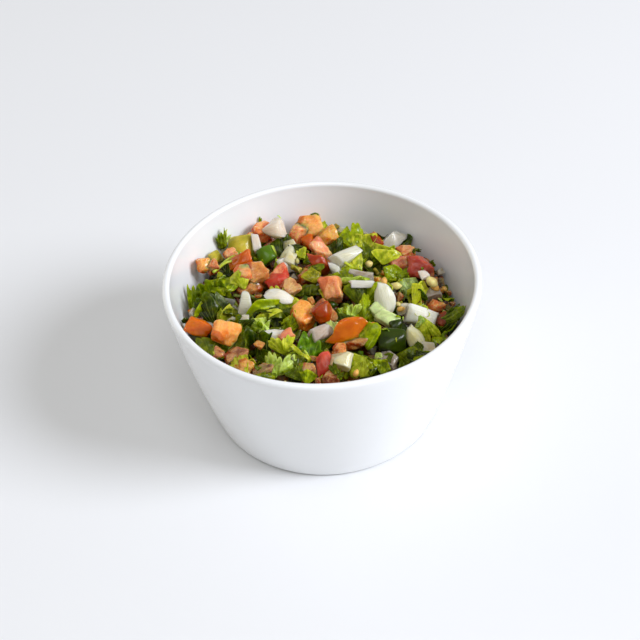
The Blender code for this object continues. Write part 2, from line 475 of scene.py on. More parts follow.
def cut_form(draw, inner, rounding, skew, cuts, roughness, dome, bend, waist, skin_from, bites,
             taper, skin_way):
    """A piece cut by a knife, about 1 across: a rounded box with its corners moved by skew.

    cuts takes off that many corners, dome swells the skin side (+Z), bend curves it along X and Y,
    waist draws its middle in, the skin starts at skin_from along skin_way (a short one leaves only
    its red edge), bites hollow out that many places, and taper narrows it towards +Y and towards
    both ends of X.
    """
    points, faces, rim = box_grid(inner, rounding)
    share_of = points + 0.5
    moved = np.zeros_like(points)
    for corner in range(8):
        weight = np.ones(len(points))
        for axis in range(3):
            weight *= share_of[:, axis] if corner >> axis & 1 else 1 - share_of[:, axis]
        moved += weight[:, None] * [draw.gauss(0, skew) for _ in range(3)]
    points = points + moved
    for _ in range(cuts):
        normal = np.array([draw.choice((-1, 1)) * draw.uniform(0.35, 1.0) for _ in range(3)])
        normal /= np.linalg.norm(normal)
        over = np.clip(points @ normal - draw.uniform(0.34, 0.56), 0, None)
        points = points - over[:, None] * normal
    for _ in range(bites):
        way = np.array([draw.gauss(0, 1.0) for _ in range(3)])
        near = np.linalg.norm(points - 0.55 * (way / np.linalg.norm(way)), axis=1)
        deep = draw.uniform(0.12, 0.26)
        points = points * (1 - deep * np.exp(-((near / draw.uniform(0.15, 0.32)) ** 2)))[:, None]
    length = np.linalg.norm(skin_way)
    skin = length * np.clip((points @ (np.array(skin_way) / length) - skin_from) * 8 + 0.5, 0, 1)
    swell = np.clip(points[:, 2] * 3, 0, 1)
    points[:, 2] += dome * swell * (0.25 - points[:, 0] ** 2 - points[:, 1] ** 2)
    if waist:
        pinch = waist * np.exp(-((points[:, 0] / 0.16) ** 2))
        points[:, 1] *= 1 - pinch
        points[:, 2] *= 1 - 0.6 * pinch
    points[:, 0] *= 1 - taper[0] * (points[:, 1] + 0.5)
    points[:, 1] *= 1 - taper[1] * 4 * np.clip(points[:, 0] ** 2, 0, 0.25)
    still = points.copy()
    for axis in range(3):
        for share_of_it, waves, finest in ((0.8, 4, 6), (0.5, 8, 17), (0.22, 10, 34)):
            points[:, axis] += share_of_it * roughness * ripple(still, draw, waves, finest)
    points[:, 2] += -bend[0] * (points[:, 0] ** 2 - 0.08) - bend[1] * (points[:, 1] ** 2 - 0.08)
    return Form(points - points.mean(0), faces, skin, rim)


# A style of cut piece: how many forms it has, then what cut_form takes. It has no skin where
# skin_from isn't given
Cut = namedtuple(
    "Cut", "forms inner rounding skew cuts roughness dome bend waist skin_from bites taper skin_way",
    defaults=(0.0, (0.0, 0.0), 0.0, 9.0, 0, (0.0, 0.0), (0.0, 0.0, 1.0)),
)

# For each kind its seed and its styles. The forms are drawn in this order, so that a new style
# goes to the end, and lobed, which no row uses now, keeps its place
CUTS = {
    "tomato": (101, {
        "dice": Cut(8, 8, 0.14, 0.110, 3, 0.056, skin_from=0.40, bites=1, skin_way=(-0.30, 0.20, 0.06)),
        "cap": Cut(5, 8, 0.15, 0.100, 3, 0.042, dome=0.32, skin_from=0.20, bites=1),
        "shell": Cut(4, 8, 0.15, 0.130, 4, 0.045, bend=(2.6, 0.5), skin_from=0.05, bites=2,
                     taper=(0.30, 0.45)),
        "lobed": Cut(4, 8, 0.18, 0.100, 2, 0.075, dome=0.3, waist=0.12, bites=2),
        "small": Cut(6, 2, 0.16, 0.11, 3, 0.055, dome=0.1, skin_from=0.40, bites=1),
        "crumb": Cut(6, 0, 0.20, 0.15, 2, 0.06),
    }),
    "onion": (202, {
        "dice": Cut(6, 5, 0.090, 0.075, 1, 0.026, bend=(0.40, 0.20), bites=1),
        "petal": Cut(5, 5, 0.14, 0.070, 3, 0.024, bend=(1.6, 1.0), taper=(0.62, 0.25)),
        "lens": Cut(4, 5, 0.10, 0.060, 3, 0.024, bend=(1.2, 1.6), taper=(0.0, 0.62)),
        "slab": Cut(6, 5, 0.060, 0.130, 3, 0.026, bend=(1.5, 0.4)),
        "small": Cut(6, 2, 0.07, 0.10, 3, 0.02, bend=(0.25, 0.1)),
        "crumb": Cut(6, 0, 0.14, 0.15, 2, 0.04),
    }),
    "chilli": (303, {
        "dice": Cut(4, 5, 0.11, 0.07, 2, 0.018, dome=0.35, bend=(0.2, 0), skin_from=-0.02),
        "ring": Cut(4, 5, 0.10, 0.08, 2, 0.022, bend=(1.8, 0.3), skin_from=0.0),
        "small": Cut(5, 2, 0.12, 0.09, 3, 0.02, dome=0.3, bend=(0.2, 0), skin_from=0.1),
        "crumb": Cut(4, 0, 0.18, 0.15, 2, 0.05, skin_from=0.1),
    }),
}


def cut_forms(kind):
    """The kind's forms as (style, form) pairs."""
    start, styles = CUTS[kind]
    draw = random.Random(start)
    return [(style, cut_form(draw, *rest)) for style, (number, *rest) in styles.items()
            for _ in range(number)]


def seed_forms():
    """Three flat drops, more and less pointed, as (style, form) pairs."""
    ball = bmesh.new()
    bmesh.ops.create_icosphere(ball, subdivisions=1, radius=1.0)
    ways = np.array([v.co[:] for v in ball.verts])
    faces = [[v.index for v in f.verts] for f in ball.faces]
    ball.free()
    ways /= np.linalg.norm(ways, axis=1)[:, None]
    forms = []
    for squeeze in (0.0, 0.25, 0.4):
        points = ways * 0.5
        points[:, 1] *= 0.78 * (1 - squeeze * (points[:, 0] + 0.5))
        points[:, 2] *= 0.30
        forms.append(("seed", Form(points, faces, *np.zeros((2, len(points))))))
    return forms


# ---------------------------------------------------------------- what the photograph shows


# A piece shows at (px, py) in the photograph. Sizes are in millimetres and angles in degrees
Chunk = namedtuple("Chunk", "kind px py form size spin lean tone side", defaults=(0,))
Leaf = namedtuple("Leaf", "px py style size spin lean curl arch tone side", defaults=(0,))
Stem = namedtuple("Stem", "px py length spin lean curl tone")
tomato, onion, chilli, seed = (partial(Chunk, kind) for kind in ("tomato", "onion", "chilli", "seed"))

# Flesh and skin, or upper and lower side, as sRGB shares
TONES = {
    "tomato": {
        "orange": ((0.91, 0.585, 0.18), (0.86, 0.43, 0.05)),
        "bright": ((0.86, 0.49, 0.03), (0.75, 0.37, 0.0)),
        "peach": ((0.94, 0.58, 0.18), (0.88, 0.42, 0.04)),
        "pink": ((0.92, 0.56, 0.32), (0.82, 0.36, 0.16)),
        "amber": ((0.89, 0.60, 0.26), (0.83, 0.48, 0.12)),
        "red": ((0.84, 0.44, 0.22), (0.68, 0.17, 0.06)),
        "brown": ((0.58, 0.29, 0.02), (0.60, 0.22, 0.0)),
        "rust": ((0.76, 0.42, 0.08), (0.64, 0.29, 0.02)),
        "crimson": ((0.78, 0.42, 0.32), (0.60, 0.20, 0.13)),
        "maroon": ((0.57, 0.30, 0.17), (0.46, 0.18, 0.085)),
        "scarlet": ((0.72, 0.35, 0.15), (0.62, 0.20, 0.02)),
        "umber": ((0.30, 0.18, 0.05), (0.27, 0.12, 0.02)),
        "deep": ((0.78, 0.41, 0.0), (0.71, 0.33, 0.0)),
        "rose": ((0.86, 0.46, 0.34), (0.76, 0.23, 0.15)),
        "salmon": ((0.90, 0.59, 0.39), (0.80, 0.41, 0.20)),
        "gold": ((0.80, 0.54, 0.15), (0.74, 0.43, 0.04)),
        "tan": ((0.72, 0.52, 0.32), (0.62, 0.38, 0.22)),
        "blush": ((0.94, 0.66, 0.48), (0.90, 0.52, 0.36)),
    },
    "onion": {name: (flesh, flesh) for name, flesh in {
        "white": (0.95, 0.93, 0.85),
        "soft": (0.90, 0.885, 0.78),
        "cream": (0.94, 0.885, 0.60),
        # dull is onion in shade: painted shade.
        "dull": (0.63, 0.53, 0.41),
        "grey": (0.83, 0.80, 0.73),
        "blush": (0.95, 0.86, 0.77),
        "mauve": (0.76, 0.65, 0.57),
        "clear": (0.86, 0.785, 0.61),
        "pink": (1.0, 0.93, 0.84),
    }.items()},
    "chilli": {
        "green": ((0.74, 0.80, 0.20), (0.30, 0.44, 0.0)),
        "dark": ((0.36, 0.44, 0.05), (0.12, 0.17, 0.0)),
        "pale": ((0.88, 0.92, 0.70), (0.82, 0.88, 0.60)),
        "lime": ((0.84, 0.79, 0.36), (0.78, 0.71, 0.22)),
    },
    # Most leaf tones differ by how light falls on each leaf: the lighter ones are painted light and the
    # darker ones painted shade.
    "leaf": {
        "lime": ((0.70, 0.75, 0.10), (0.84, 0.86, 0.26)),
        "bright": ((0.50, 0.57, 0.0), (0.66, 0.72, 0.05)),
        "fresh": ((0.28, 0.42, 0.0), (0.39, 0.54, 0.03)),
        "green": ((0.31, 0.36, 0.0), (0.47, 0.51, 0.02)),
        "olive": ((0.52, 0.50, 0.04), (0.66, 0.64, 0.14)),
        "dark": ((0.13, 0.17, 0.0), (0.27, 0.31, 0.01)),
        "blue": ((0.31, 0.35, 0.19), (0.46, 0.51, 0.31)),
        "sage": ((0.62, 0.72, 0.38), (0.76, 0.86, 0.56)),
        "tender": ((0.66, 0.76, 0.24), (0.80, 0.88, 0.42)),
        "pale": ((0.80, 0.92, 0.40), (0.88, 0.96, 0.58)),
    },
    "seed": {
        "tan": ((0.94, 0.72, 0.36), (0.84, 0.56, 0.20)),
        "yellow": ((0.93, 0.88, 0.56), (0.86, 0.76, 0.40)),
    },
}

# Tones of the pieces that fill the heap and of the crumbs on top
FILL_TONES = {
    "tomato": ("orange", "pink", "peach", "brown", "amber", "maroon", "crimson"),
    "onion": ("clear", "pink", "cream"),
    "chilli": ("green", "dark", "lime"),
    "leaf": ("bright", "green", "dark", "lime", "green"),
}
CRUMB_TONES = {
    "tomato": ("orange", "peach", "pink", "red", "brown"),
    "onion": ("clear", "cream"),
    "chilli": ("green", "lime"),
}

# Leaves that lie under the pieces, from the back to the front
UNDER_LEAVES = (
    Leaf(278, 246, "round", (12, 11), 0, 35, 0.5, 0.5, "dark"),
    Leaf(336, 250, "frond", (9, 9), 20, 40, 0.4, 0.3, "dark"),
    Leaf(350, 243, "frond", (15, 13), 25, 35, 0.3, 0.4, "bright", -10),
    Leaf(367, 247, "frond", (16, 13), -25, 40, 0.4, 0.4, "lime", 10),
    Leaf(366, 255, "round", (13, 10), 0, 30, 0.6, 0.4, "green"),
    Leaf(353, 268, "frond", (15, 11), 40, 30, 0.5, 0.3, "lime"),
    Leaf(311, 278, "fan", (9, 9), 10, 50, 0.4, 0.3, "olive"),
    Leaf(309, 290, "strip", (14, 6), -6, 30, 0.3, 0.2, "green"),
    Leaf(349, 280, "frond", (13, 9), 10, 30, 0.4, 0.3, "bright"),
    Leaf(289, 303, "frond", (18, 12), -15, 30, 0.6, 0.5, "lime"),
    Leaf(218, 300, "round", (17, 18), 0, 62, 0.5, -0.4, "green"),
    Leaf(206, 312, "cut", (9, 14), 15, 72, 0.4, 0.2, "bright"),
    Leaf(197, 299, "strip", (4.5, 13), 0, 76, -0.7, -0.1, "green"),
    Leaf(192, 299, "strip", (3.5, 12), 2, 74, 0.7, -0.1, "bright"),
    Leaf(213, 349, "cut", (15, 9), -22, 35, 0.3, 0.2, "green"),
    Leaf(238, 345, "strip", (10, 9), -50, 50, 0.8, 0.2, "green"),
    Leaf(371, 293, "cut", (12, 13), -12, 46, 0.8, 0.4, "bright", 12),
    Leaf(358, 296, "cut", (11, 13), 12, 52, 0.9, 0.3, "green", -10),
    Leaf(366, 309, "round", (10, 12), -8, 50, 0.8, 0.5, "bright", 10),
    Leaf(346, 322, "cut", (9, 8), 0, 30, 0.4, 0.3, "dark"),
    Leaf(410, 288, "round", (9, 10), 20, 50, 0.9, 0.3, "sage"),
    Leaf(428, 333, "frond", (10, 14), 185, 62, 0.5, 0.3, "lime"),
    Leaf(407, 245, "strip", (8, 8), -55, 55, 0.5, 0.2, "dark"),
    Leaf(397, 247, "cut", (4, 5), 0, 45, 0.3, 0.2, "bright"),
    Leaf(322, 342, "frond", (9, 8), 0, 40, 0.5, 0.3, "green"),
)

CHUNKS = (
    # back rows
    tomato(310, 230, "dice", (13, 9, 10), 12, 20, "amber"),
    tomato(327, 239, "dice", (8, 7, 7), 30, 15, "gold", 10),
    tomato(262, 232, "dice", (8, 7, 7), 15, 0, "pink"),
    tomato(298, 233, "dice", (7, 6, 6), 40, 0, "salmon"),
    onion(276, 228, "petal", (10, 8, 5), -14, 42, "blush"),
    onion(256, 243, "small", (7.5, 4, 3), 100, 30, "blush"),
    onion(391, 243, "slab", (9.5, 6.5, 3), 35, 48, "grey", -10),
    tomato(376, 240, "cap", (3.4, 7, 4), 32, 30, "brown", 10),
    tomato(309, 242, "cap", (5, 5, 5), -50, 38, "deep", 10),
    chilli(240, 247, "ring", (9, 8.4, 5), 4, 46, "lime"),
    onion(291, 246, "slab", (6, 4.5, 3), 20, 40, "cream"),
    onion(286, 258, "slab", (4, 8.5, 3), -35, 35, "cream"),
    chilli(267, 256, "dice", (6.8, 6.6, 6.4), 15, 42, "green", -15),
    tomato(320, 265, "shell", (10.5, 5.5, 4), -48, 45, "scarlet", 15),
    tomato(204, 265, "dice", (5, 5.6, 5), 200, 35, "peach", 20),
    tomato(212, 267, "dice", (4.5, 4, 4), 35, 20, "scarlet", 10),
    chilli(216, 258, "small", (5, 4.4, 4), 35, 20, "lime", -10),
    tomato(230, 254, "dice", (5, 4, 4), 10, 20, "salmon"),
    tomato(241, 261, "cap", (8.4, 6.4, 5), 10, 40, "deep", -12),
    tomato(249, 288, "dice", (8, 7, 7), 25, 10, "brown", -10),
    tomato(256, 276, "dice", (8.6, 8.6, 9.5), 25, 24, "rust", 10),
    tomato(243, 275, "dice", (8, 6, 6), 10, 0, "pink"),
    tomato(309, 275, "dice", (7.5, 6, 5), 20, 10, "brown"),
    onion(284, 266, "slab", (5, 7, 3), 20, 40, "pink"),
    onion(291, 259, "small", (4, 6, 3), -20, 40, "cream"),
    tomato(279, 282, "cap", (10.5, 10.5, 7), 30, 48, "rose", -20),
    tomato(289, 288, "dice", (6.5, 6.5, 5), 30, 20, "tan", 10),
    onion(336, 270, "small", (3.5, 6, 3), 20, 40, "soft"),
    tomato(332, 289, "dice", (7.5, 9.4, 7.5), 5, 45, "salmon"),
    onion(347, 256, "slab", (12.5, 6, 3.4), 33, 36, "soft", 12),
    onion(361, 275, "small", (8, 3.4, 2.4), -3, 40, "dull"),
    tomato(407, 254, "dice", (6, 5.4, 5.4), 20, 0, "salmon"),
    tomato(401, 266, "dice", (8, 6, 6), 0, 10, "crimson"),
    tomato(419, 269, "cap", (12, 9, 9), 10, 35, "crimson", 15),
    onion(424, 275, "small", (3.4, 4.6, 3), 30, 30, "blush"),
    # middle
    onion(245, 306, "petal", (7.4, 10.4, 3.4), 4, 52, "soft", 10),
    onion(244, 321, "small", (4.5, 6, 3), 8, 40, "clear"),
    onion(279, 297, "lens", (11, 6.2, 2.4), -9, 48, "pink", 8),
    tomato(303, 317, "dice", (9.5, 9.5, 10), 40, 14, "orange"),
    tomato(323, 313, "cap", (9, 9, 7), -40, 50, "brown", 20),
    tomato(199, 328, "cap", (6.8, 9, 7), 40, 50, "bright", -25),
    tomato(226, 332, "dice", (9.4, 9.8, 8.5), 82, 38, "peach", 8),
    onion(321, 333, "slab", (9, 5, 3.5), 24, 30, "mauve"),
    onion(275, 336, "slab", (8, 6, 3), 20, 48, "pink", 10),
    tomato(286, 336, "small", (5, 4, 4), 20, 10, "blush"),
    onion(386, 299, "petal", (5, 7, 3), 188, 52, "white", 8),
    chilli(378, 311, "small", (7, 5, 3), -50, 40, "pale"),
    chilli(387, 319, "ring", (8, 5.5, 3), -25, 40, "pale", 10),
    # A dark chilli bit where there is shade: painted shade.
    chilli(396, 325, "small", (5, 4, 3), 10, 40, "dark", 10),
    onion(432, 294, "dice", (6.5, 5, 4), 20, 10, "dull"),
    tomato(436, 305, "dice", (5.5, 5, 5), 30, 10, "pink", 10),
    tomato(442, 322, "small", (5, 5, 5), 30, 0, "maroon"),
    onion(404, 309, "lens", (6, 5, 3), 30, 40, "clear"),
    onion(422, 317, "dice", (11.4, 8, 7), -14, 44, "white", 10),
    # front
    tomato(235, 356, "dice", (7, 6.2, 6.2), 20, 10, "maroon"),
    tomato(245, 368, "dice", (7.4, 5.4, 5), -25, 20, "gold", 10),
    tomato(262, 371, "dice", (6.5, 5.5, 5), 10, 0, "umber", -10),
    tomato(219, 353, "crumb", (4.5, 3.5, 3), -20, 10, "maroon"),
    tomato(309, 371, "dice", (5, 4.5, 4.5), 10, 0, "tan"),
    tomato(353, 341, "dice", (8, 7, 6), 0, 0, "brown"),
    tomato(340, 352, "dice", (6, 5, 5), 0, 0, "rust"),
    tomato(327, 366, "cap", (8.5, 5.5, 8), 80, 30, "rose", -35),
    tomato(330, 379, "dice", (5.5, 5, 5), 20, 0, "maroon"),
    onion(342, 361, "dice", (7, 6, 7), -8, 32, "cream", 12),
    chilli(391, 341, "dice", (11.5, 9, 9), -5, 30, "dark"),
    onion(389, 359, "slab", (8.5, 5, 3), -40, 25, "dull"),
    onion(416, 341, "lens", (10.5, 6.4, 3.2), -62, 50, "cream", 8),
    onion(428, 352, "dice", (6, 6, 5), 0, 10, "clear"),
    tomato(350, 330, "shell", (15.5, 8.6, 1.6), 16, 56, "bright", 8),
)

STEMS = (
    Stem(226, 262, 12, 38, 20, 0.3, "lime"),
    Stem(222, 266, 9, 35, 20, 0.3, "lime"),
    Stem(234, 256, 10, 30, 20, 0.4, "bright"),
    Stem(301, 354, 13, -40, 25, 1.4, "lime"),
    Stem(351, 268, 7, -50, 30, 0.4, "lime"),
    Stem(245, 296, 9, -10, 0, 0.3, "green"),
    Stem(377, 340, 8, 60, 40, 0.6, "lime"),
    Stem(318, 322, 9, 60, 30, 0.5, "green"),
)

# Leaves that lie over the pieces, from the back to the front
OVER_LEAVES = (
    Leaf(221, 240, "strip", (6.5, 10), 4, 78, 1.6, 0.2, "green"),
    Leaf(225, 239, "strip", (3.5, 9), -6, 84, 1.2, 0.2, "pale", 20),
    Leaf(260, 223, "strip", (1.4, 6), -8, 80, 0.2, 0.2, "green"),
    Leaf(366, 263, "frond", (5, 4), 0, 45, 0.4, 0.3, "bright"),
    Leaf(303, 255, "cut", (6, 5), 30, 45, 0.4, 0.3, "lime"),
    Leaf(311, 276, "cut", (8, 7), 20, 40, 0.5, 0.5, "olive"),
    Leaf(225, 286, "cut", (20, 11), 6, 24, 0.35, 1.2, "bright"),
    Leaf(241, 283, "cut", (9, 7), 20, 35, 0.5, 0.5, "lime"),
    Leaf(212, 308, "round", (15, 14), 0, 64, 0.4, 0.3, "dark"),
    Leaf(219, 302, "round", (9, 9), 0, 66, 0.4, 0.6, "blue"),
    Leaf(387, 256, "cut", (14, 8.5), -12, 40, 0.4, 0.3, "lime", 8),
    Leaf(392, 274, "cut", (8.8, 7.6), -32, 48, 0.25, 0.15, "bright", 5),
    Leaf(417, 294, "cut", (8.4, 11), -28, 60, 0.4, 0.3, "lime"),
    # The dark leaf in the arch's hollow is painted shade.
    Leaf(280, 321, "cut", (9, 8), 0, 70, -0.9, -0.3, "dark"),
    Leaf(264, 312, "band", (25, 3.2), 14, 8, 1.5, 0.1, "bright"),
    Leaf(268, 315, "band", (21, 3.0), 10, 4, 1.5, 0.1, "dark"),
    Leaf(271, 318, "band", (18, 2.4), 8, 0, 1.6, 0.1, "lime"),
    Leaf(275, 321, "band", (14, 2.4), 6, 0, 1.6, 0.1, "green"),
    Leaf(260, 324, "frond", (11, 9), 30, 50, 0.7, 0.4, "tender"),
    Leaf(292, 324, "frond", (8, 9), -30, 50, 0.6, 0.4, "bright"),
    # The rolled bands are dark as painted shade inside the roll.
    Leaf(251, 343, "band", (8, 13), 6, 68, -1.5, -0.2, "dark"),
    Leaf(264, 344, "band", (8, 12), -6, 66, 1.4, -0.2, "dark"),
    Leaf(243, 337, "band", (2.4, 11), 14, 72, 0.9, 0.2, "green"),
    Leaf(283, 345, "fan", (11, 8), 15, 45, 0.5, 0.3, "lime"),
    Leaf(304, 348, "round", (13, 12.5), 15, 45, 0.3, 0.3, "fresh", 6),
    Leaf(279, 368, "fan", (12.5, 13), -18, 52, 0.35, 0.4, "tender"),
    Leaf(296, 374, "frond", (8, 7), 30, 45, 0.5, 0.4, "green"),
    Leaf(370, 336, "band", (8, 12), -32, 56, 1.1, 0.5, "bright"),
    Leaf(449, 320, "strip", (5, 15), -40, 55, 0.6, 0.3, "dark"),
    Leaf(453, 317, "strip", (4, 14), -42, 60, 0.5, 0.3, "green", 20),
    Leaf(355, 280, "band", (12, 3.6), -3, 42, 0.3, 0.5, "tender"),
    Leaf(350, 312, "frond", (10, 6), 0, 40, 0.5, 0.4, "tender"),
    Leaf(338, 327, "frond", (9, 6.5), 10, 44, 0.3, 0.2, "pale"),
    Leaf(361, 369, "cut", (15, 11), 20, 48, 0.2, 0.15, "green"),
    Leaf(382, 367, "cut", (7, 6), -10, 48, 0.3, 0.2, "bright"),
    Leaf(408, 357, "cut", (9, 6), 25, 45, 0.2, 0.2, "green"),
    Leaf(334, 370, "frond", (4, 4), 0, 50, 0.4, 0.3, "green"),
    Leaf(327, 297, "cut", (7, 6), -20, 45, 0.4, 0.3, "lime"),
)

# Leaves that lie on top of all, laid last
TOP_LEAVES = (
    Leaf(302, 254, "cut", (5.5, 4.5), 30, 45, 0.4, 0.3, "lime"),
    Leaf(386, 257, "cut", (13, 6.5), -12, 44, 0.3, 0.3, "lime", 8),
    Leaf(417, 295, "cut", (7.5, 9.5), -28, 60, 0.4, 0.3, "lime"),
    Leaf(308, 377, "cut", (7, 6), -10, 50, 0.4, 0.3, "bright"),
    Leaf(301, 353, "band", (11, 1.8), -38, 30, 0.9, 0.2, "lime"),
    Leaf(315, 218, "frond", (4, 3.2), 0, 35, 0.4, 0.3, "green"),
)

# Seeds and a few pieces that lie on top of the scattered scraps
LATE_CHUNKS = (
    tomato(320, 250, "dice", (7.4, 5.4, 5), -50, 34, "blush", 10),
    onion(385, 299, "lens", (11.2, 8, 3), 106, 52, "soft", 8),
    onion(362, 284, "small", (9.4, 3.6, 2), -3, 50, "white"),
    seed(401, 309, "seed", (3.6, 3.6, 3.6), 10, 55, "tan"),
    seed(356, 373, "seed", (3.4, 3.4, 3.4), 60, 45, "tan"),
    seed(384, 282, "seed", (4.6, 4.2, 6), 80, 50, "tan"),
    seed(396, 286, "seed", (5.5, 5.0, 8), 0, 40, "yellow"),
    seed(432, 282, "seed", (6, 5.4, 7), -30, 50, "yellow", 10),
    seed(435, 287, "seed", (5, 4.8, 5), -40, 50, "tan", 10),
    seed(369, 264, "seed", (3.6, 4.6, 5), 20, 50, "yellow"),
)


# ---------------------------------------------------------------- leaves and stems


# How far a leaf fans out in degrees, its lobes, the teeth on each, the depth between lobes and cuts
LEAF_STYLES = {
    "frond": (120, 3, 3, 0.38, 1),
    "round": (175, 3, 3, 0.20, 1),
    "fan": (95, 2, 4, 0.16, 0),
    "cut": (115, 2, 3, 0.22, 3),
    "strip": (0, 1, 4, 0.06, 0),
    "band": (0, 1, 2, 0.03, 0),
}


def leaf_flat(style, draw, fine):
    """A leaf piece in its own plane, about 1 across, as [ring, column, xy], and its vein map."""
    spread, lobes, teeth, depth, cuts = LEAF_STYLES[style]
    spread = math.radians(spread) * draw.uniform(0.85, 1.15)
    columns = lobes * teeth * (6 if fine else 3) + 1
    rings = 13 if fine else 6
    t = np.linspace(-1, 1, columns)
    uneven = t + (0.10 * np.sin(3 * t + draw.uniform(0, 6)) * (1 - t**2))
    along = (uneven + 1) / 2 * lobes
    edge = 1 - depth * (1 - np.abs(np.sin(math.pi * along)) ** 0.55)
    strength = np.array([draw.uniform(0.03, 0.20) for _ in range(lobes * teeth + 1)])
    this_tooth = np.minimum((along * teeth).astype(int), lobes * teeth)
    tooth = np.abs(np.sin(math.pi * along * teeth)) ** draw.uniform(0.6, 1.3)
    edge = edge - strength[this_tooth] * (1 - tooth)
    edge = edge * (1 + 0.10 * np.sin(5 * t + draw.uniform(0, 6)))
    out = np.linspace(0, 1, rings)[:, None] ** 0.85
    if not spread:
        x = np.broadcast_to(t / 2, (rings, columns))
        slant = draw.uniform(-0.35, 0.35)
        y = out * (edge + 0.12 * np.sin(2 * t + draw.uniform(0, 6))) - 0.5 + slant * x
    else:
        for _ in range(cuts):
            way = draw.uniform(-0.5, 0.5) * spread
            facing = np.maximum(np.cos(t * spread / 2 - way), 0.05)
            edge = np.minimum(edge, draw.uniform(0.50, 0.72) / facing)
        out = 0.03 + 0.97 * out
        x = out * edge * np.sin(t * spread / 2)
        y = out * edge * np.cos(t * spread / 2)
    flat = np.stack([x, y], axis=-1)
    low, high = flat.min((0, 1)), flat.max((0, 1))
    vein = np.stack(np.broadcast_arrays(along * teeth, out), axis=-1)
    return (flat - (low + high) / 2) / (high - low), vein


def bent(across, amount, width):
    """A line of that width bent round: its new place across and its fall."""
    rate = amount * 2.0 / width
    if abs(amount) < 1e-3:
        return across, 0 * across
    return np.sin(rate * across) / rate, (np.cos(rate * across) - 1) / rate


def leaf_sheet(style, width, length, curl, arch, draw, fine):
    """A leaf piece as [ring, column, xyz], pleated along its veins, rolled, arched and crumpled."""
    flat, vein = leaf_flat(style, draw, fine)
    x, y = flat[..., 0] * width, flat[..., 1] * length
    span = max(width, length)
    spread, lobes, teeth = LEAF_STYLES[style][:3]
    across, out = vein[..., 0], vein[..., 1]
    pleat = span * (draw.uniform(0.002, 0.006) if spread else 0.002)
    uneven = 1 + 0.6 * np.sin(0.9 * across + draw.uniform(0, 6))
    z = -pleat * out * np.cos(FULL_TURN * across) * uneven
    droops = [draw.uniform(-0.16, 0.16) for _ in range(lobes + 1)]
    z = z + np.interp(across, np.arange(lobes + 1) * teeth, droops) * span * out**2.5
    z = z + draw.uniform(-0.30, 0.30) * (np.sqrt(x**2 + (0.06 * width) ** 2))
    for reach, finest in ((0.050, 6), (0.034, 11), (0.016, 24)):
        way, wave = draw.uniform(0, math.pi), finest * draw.uniform(0.7, 1.2) / span
        line = x * math.cos(way) + y * math.sin(way)
        z = z + reach * span * np.sin(wave * line + draw.uniform(0, 6))
    x, fall = bent(x, curl, width)
    z = z + fall
    y, fall = bent(y, arch, length)
    z = z + fall
    twist = draw.uniform(-0.5, 0.5) * flat[..., 1]
    x, z = x * np.cos(twist) - z * np.sin(twist), z * np.cos(twist) + x * np.sin(twist)
    sheet = np.stack([x, y, z], axis=-1)
    return sheet - (sheet.min((0, 1)) + sheet.max((0, 1))) / 2, vein


def stem_line(length, curl):
    t = np.linspace(-0.5, 0.5, 14)
    across, fall = bent(t * length, curl, length)
    return np.stack([across, fall - fall.mean(), 0.0003 * np.sin(9 * t)], axis=-1)


def unit(vectors):
    return vectors / np.maximum(np.linalg.norm(vectors, axis=-1, keepdims=True), 1e-12)


def mesh_of(name, points, faces, tones):
    """A smooth mesh whose faces point outwards; tones is a list of (how many points, two colours)."""
    mesh = bpy.data.meshes.new(name)
    mesh.from_pydata(np.concatenate(points).tolist(), [], faces)
    for n, label in enumerate(("tone", "tone_skin")):
        values = np.concatenate([np.tile((*pair[n], 1.0), (amount, 1)) for amount, pair in tones])
        attribute_on(mesh, label, "FLOAT_COLOR", "color", values)
    mesh.shade_smooth()
    outwards(mesh)
    return mesh


def outwards(mesh):
    form = bmesh.new()
    form.from_mesh(mesh)
    bmesh.ops.recalc_face_normals(form, faces=form.faces)
    form.to_mesh(mesh)
    form.free()


def quads(*corners):
    return np.stack(corners, -1).reshape(-1, 4).tolist()


def leaves_mesh(name, leaves, thickness):
    """All leaves as one mesh: each a closed sheet of two sides that meet in a thin edge."""
    points, faces, tones, veins = [], [], [], []
    start = 0
    for shape, vein, pair in leaves:
        rings, columns = shape.shape[:2]
        per_side = rings * columns
        number = np.arange(per_side).reshape(rings, columns) + start
        normal = unit(np.cross(np.gradient(shape, axis=0), np.gradient(shape, axis=1)))
        half = normal * thickness / 2 * np.linspace(1.0, 0.5, rings)[:, None, None]
        for side in (1, -1):
            points.append((shape + side * half).reshape(-1, 3))
            veins.append(vein.reshape(-1, 2))
        square = (number[:-1, :-1], number[1:, :-1], number[1:, 1:], number[:-1, 1:])
        faces += quads(*square) + quads(*(corner + per_side for corner in reversed(square)))
        rim = np.concatenate([number[0, :-1], number[:-1, -1], number[-1, :0:-1], number[:0:-1, 0]])
        following = np.roll(rim, -1)
        faces += quads(rim, following, following + per_side, rim + per_side)
        tones.append((2 * per_side, pair))
        start += 2 * per_side
    mesh = mesh_of(name, points, faces, tones)
    layer = mesh.uv_layers.new(name="Vein")
    loops = np.empty(len(mesh.loops), np.int32)
    mesh.loops.foreach_get("vertex_index", loops)
    layer.data.foreach_set("uv", np.concatenate(veins)[loops].astype(np.float32).ravel())
    return mesh


def stems_mesh(name, stems, thickness, sides=8):
    points, faces, tones = [], [], []
    start = 0
    around = np.arange(sides) * FULL_TURN / sides
    wave, swing = np.cos(around)[None, :, None], np.sin(around)[None, :, None]
    for line, pair in stems:
        steps = len(line)
        run = unit(np.gradient(line, axis=0))
        across = unit(np.cross(run, (0.3, 0.1, 1.0)))
        radius = thickness / 2 * np.linspace(1.0, 0.72, steps)[:, None, None]
        ring = wave * across[:, None] + swing * np.cross(across, run)[:, None]
        points.append((line[:, None] + radius * ring).reshape(-1, 3))
        number = np.arange(steps * sides).reshape(steps, sides) + start
        turn = np.roll(number, -1, 1)
        faces += quads(number[:-1], turn[:-1], turn[1:], number[1:])
        faces += [number[0, ::-1].tolist(), number[-1].tolist()]
        tones.append((steps * sides, pair))
        start += steps * sides
    return mesh_of(name, points, faces, tones)


# ---------------------------------------------------------------- laying the heap


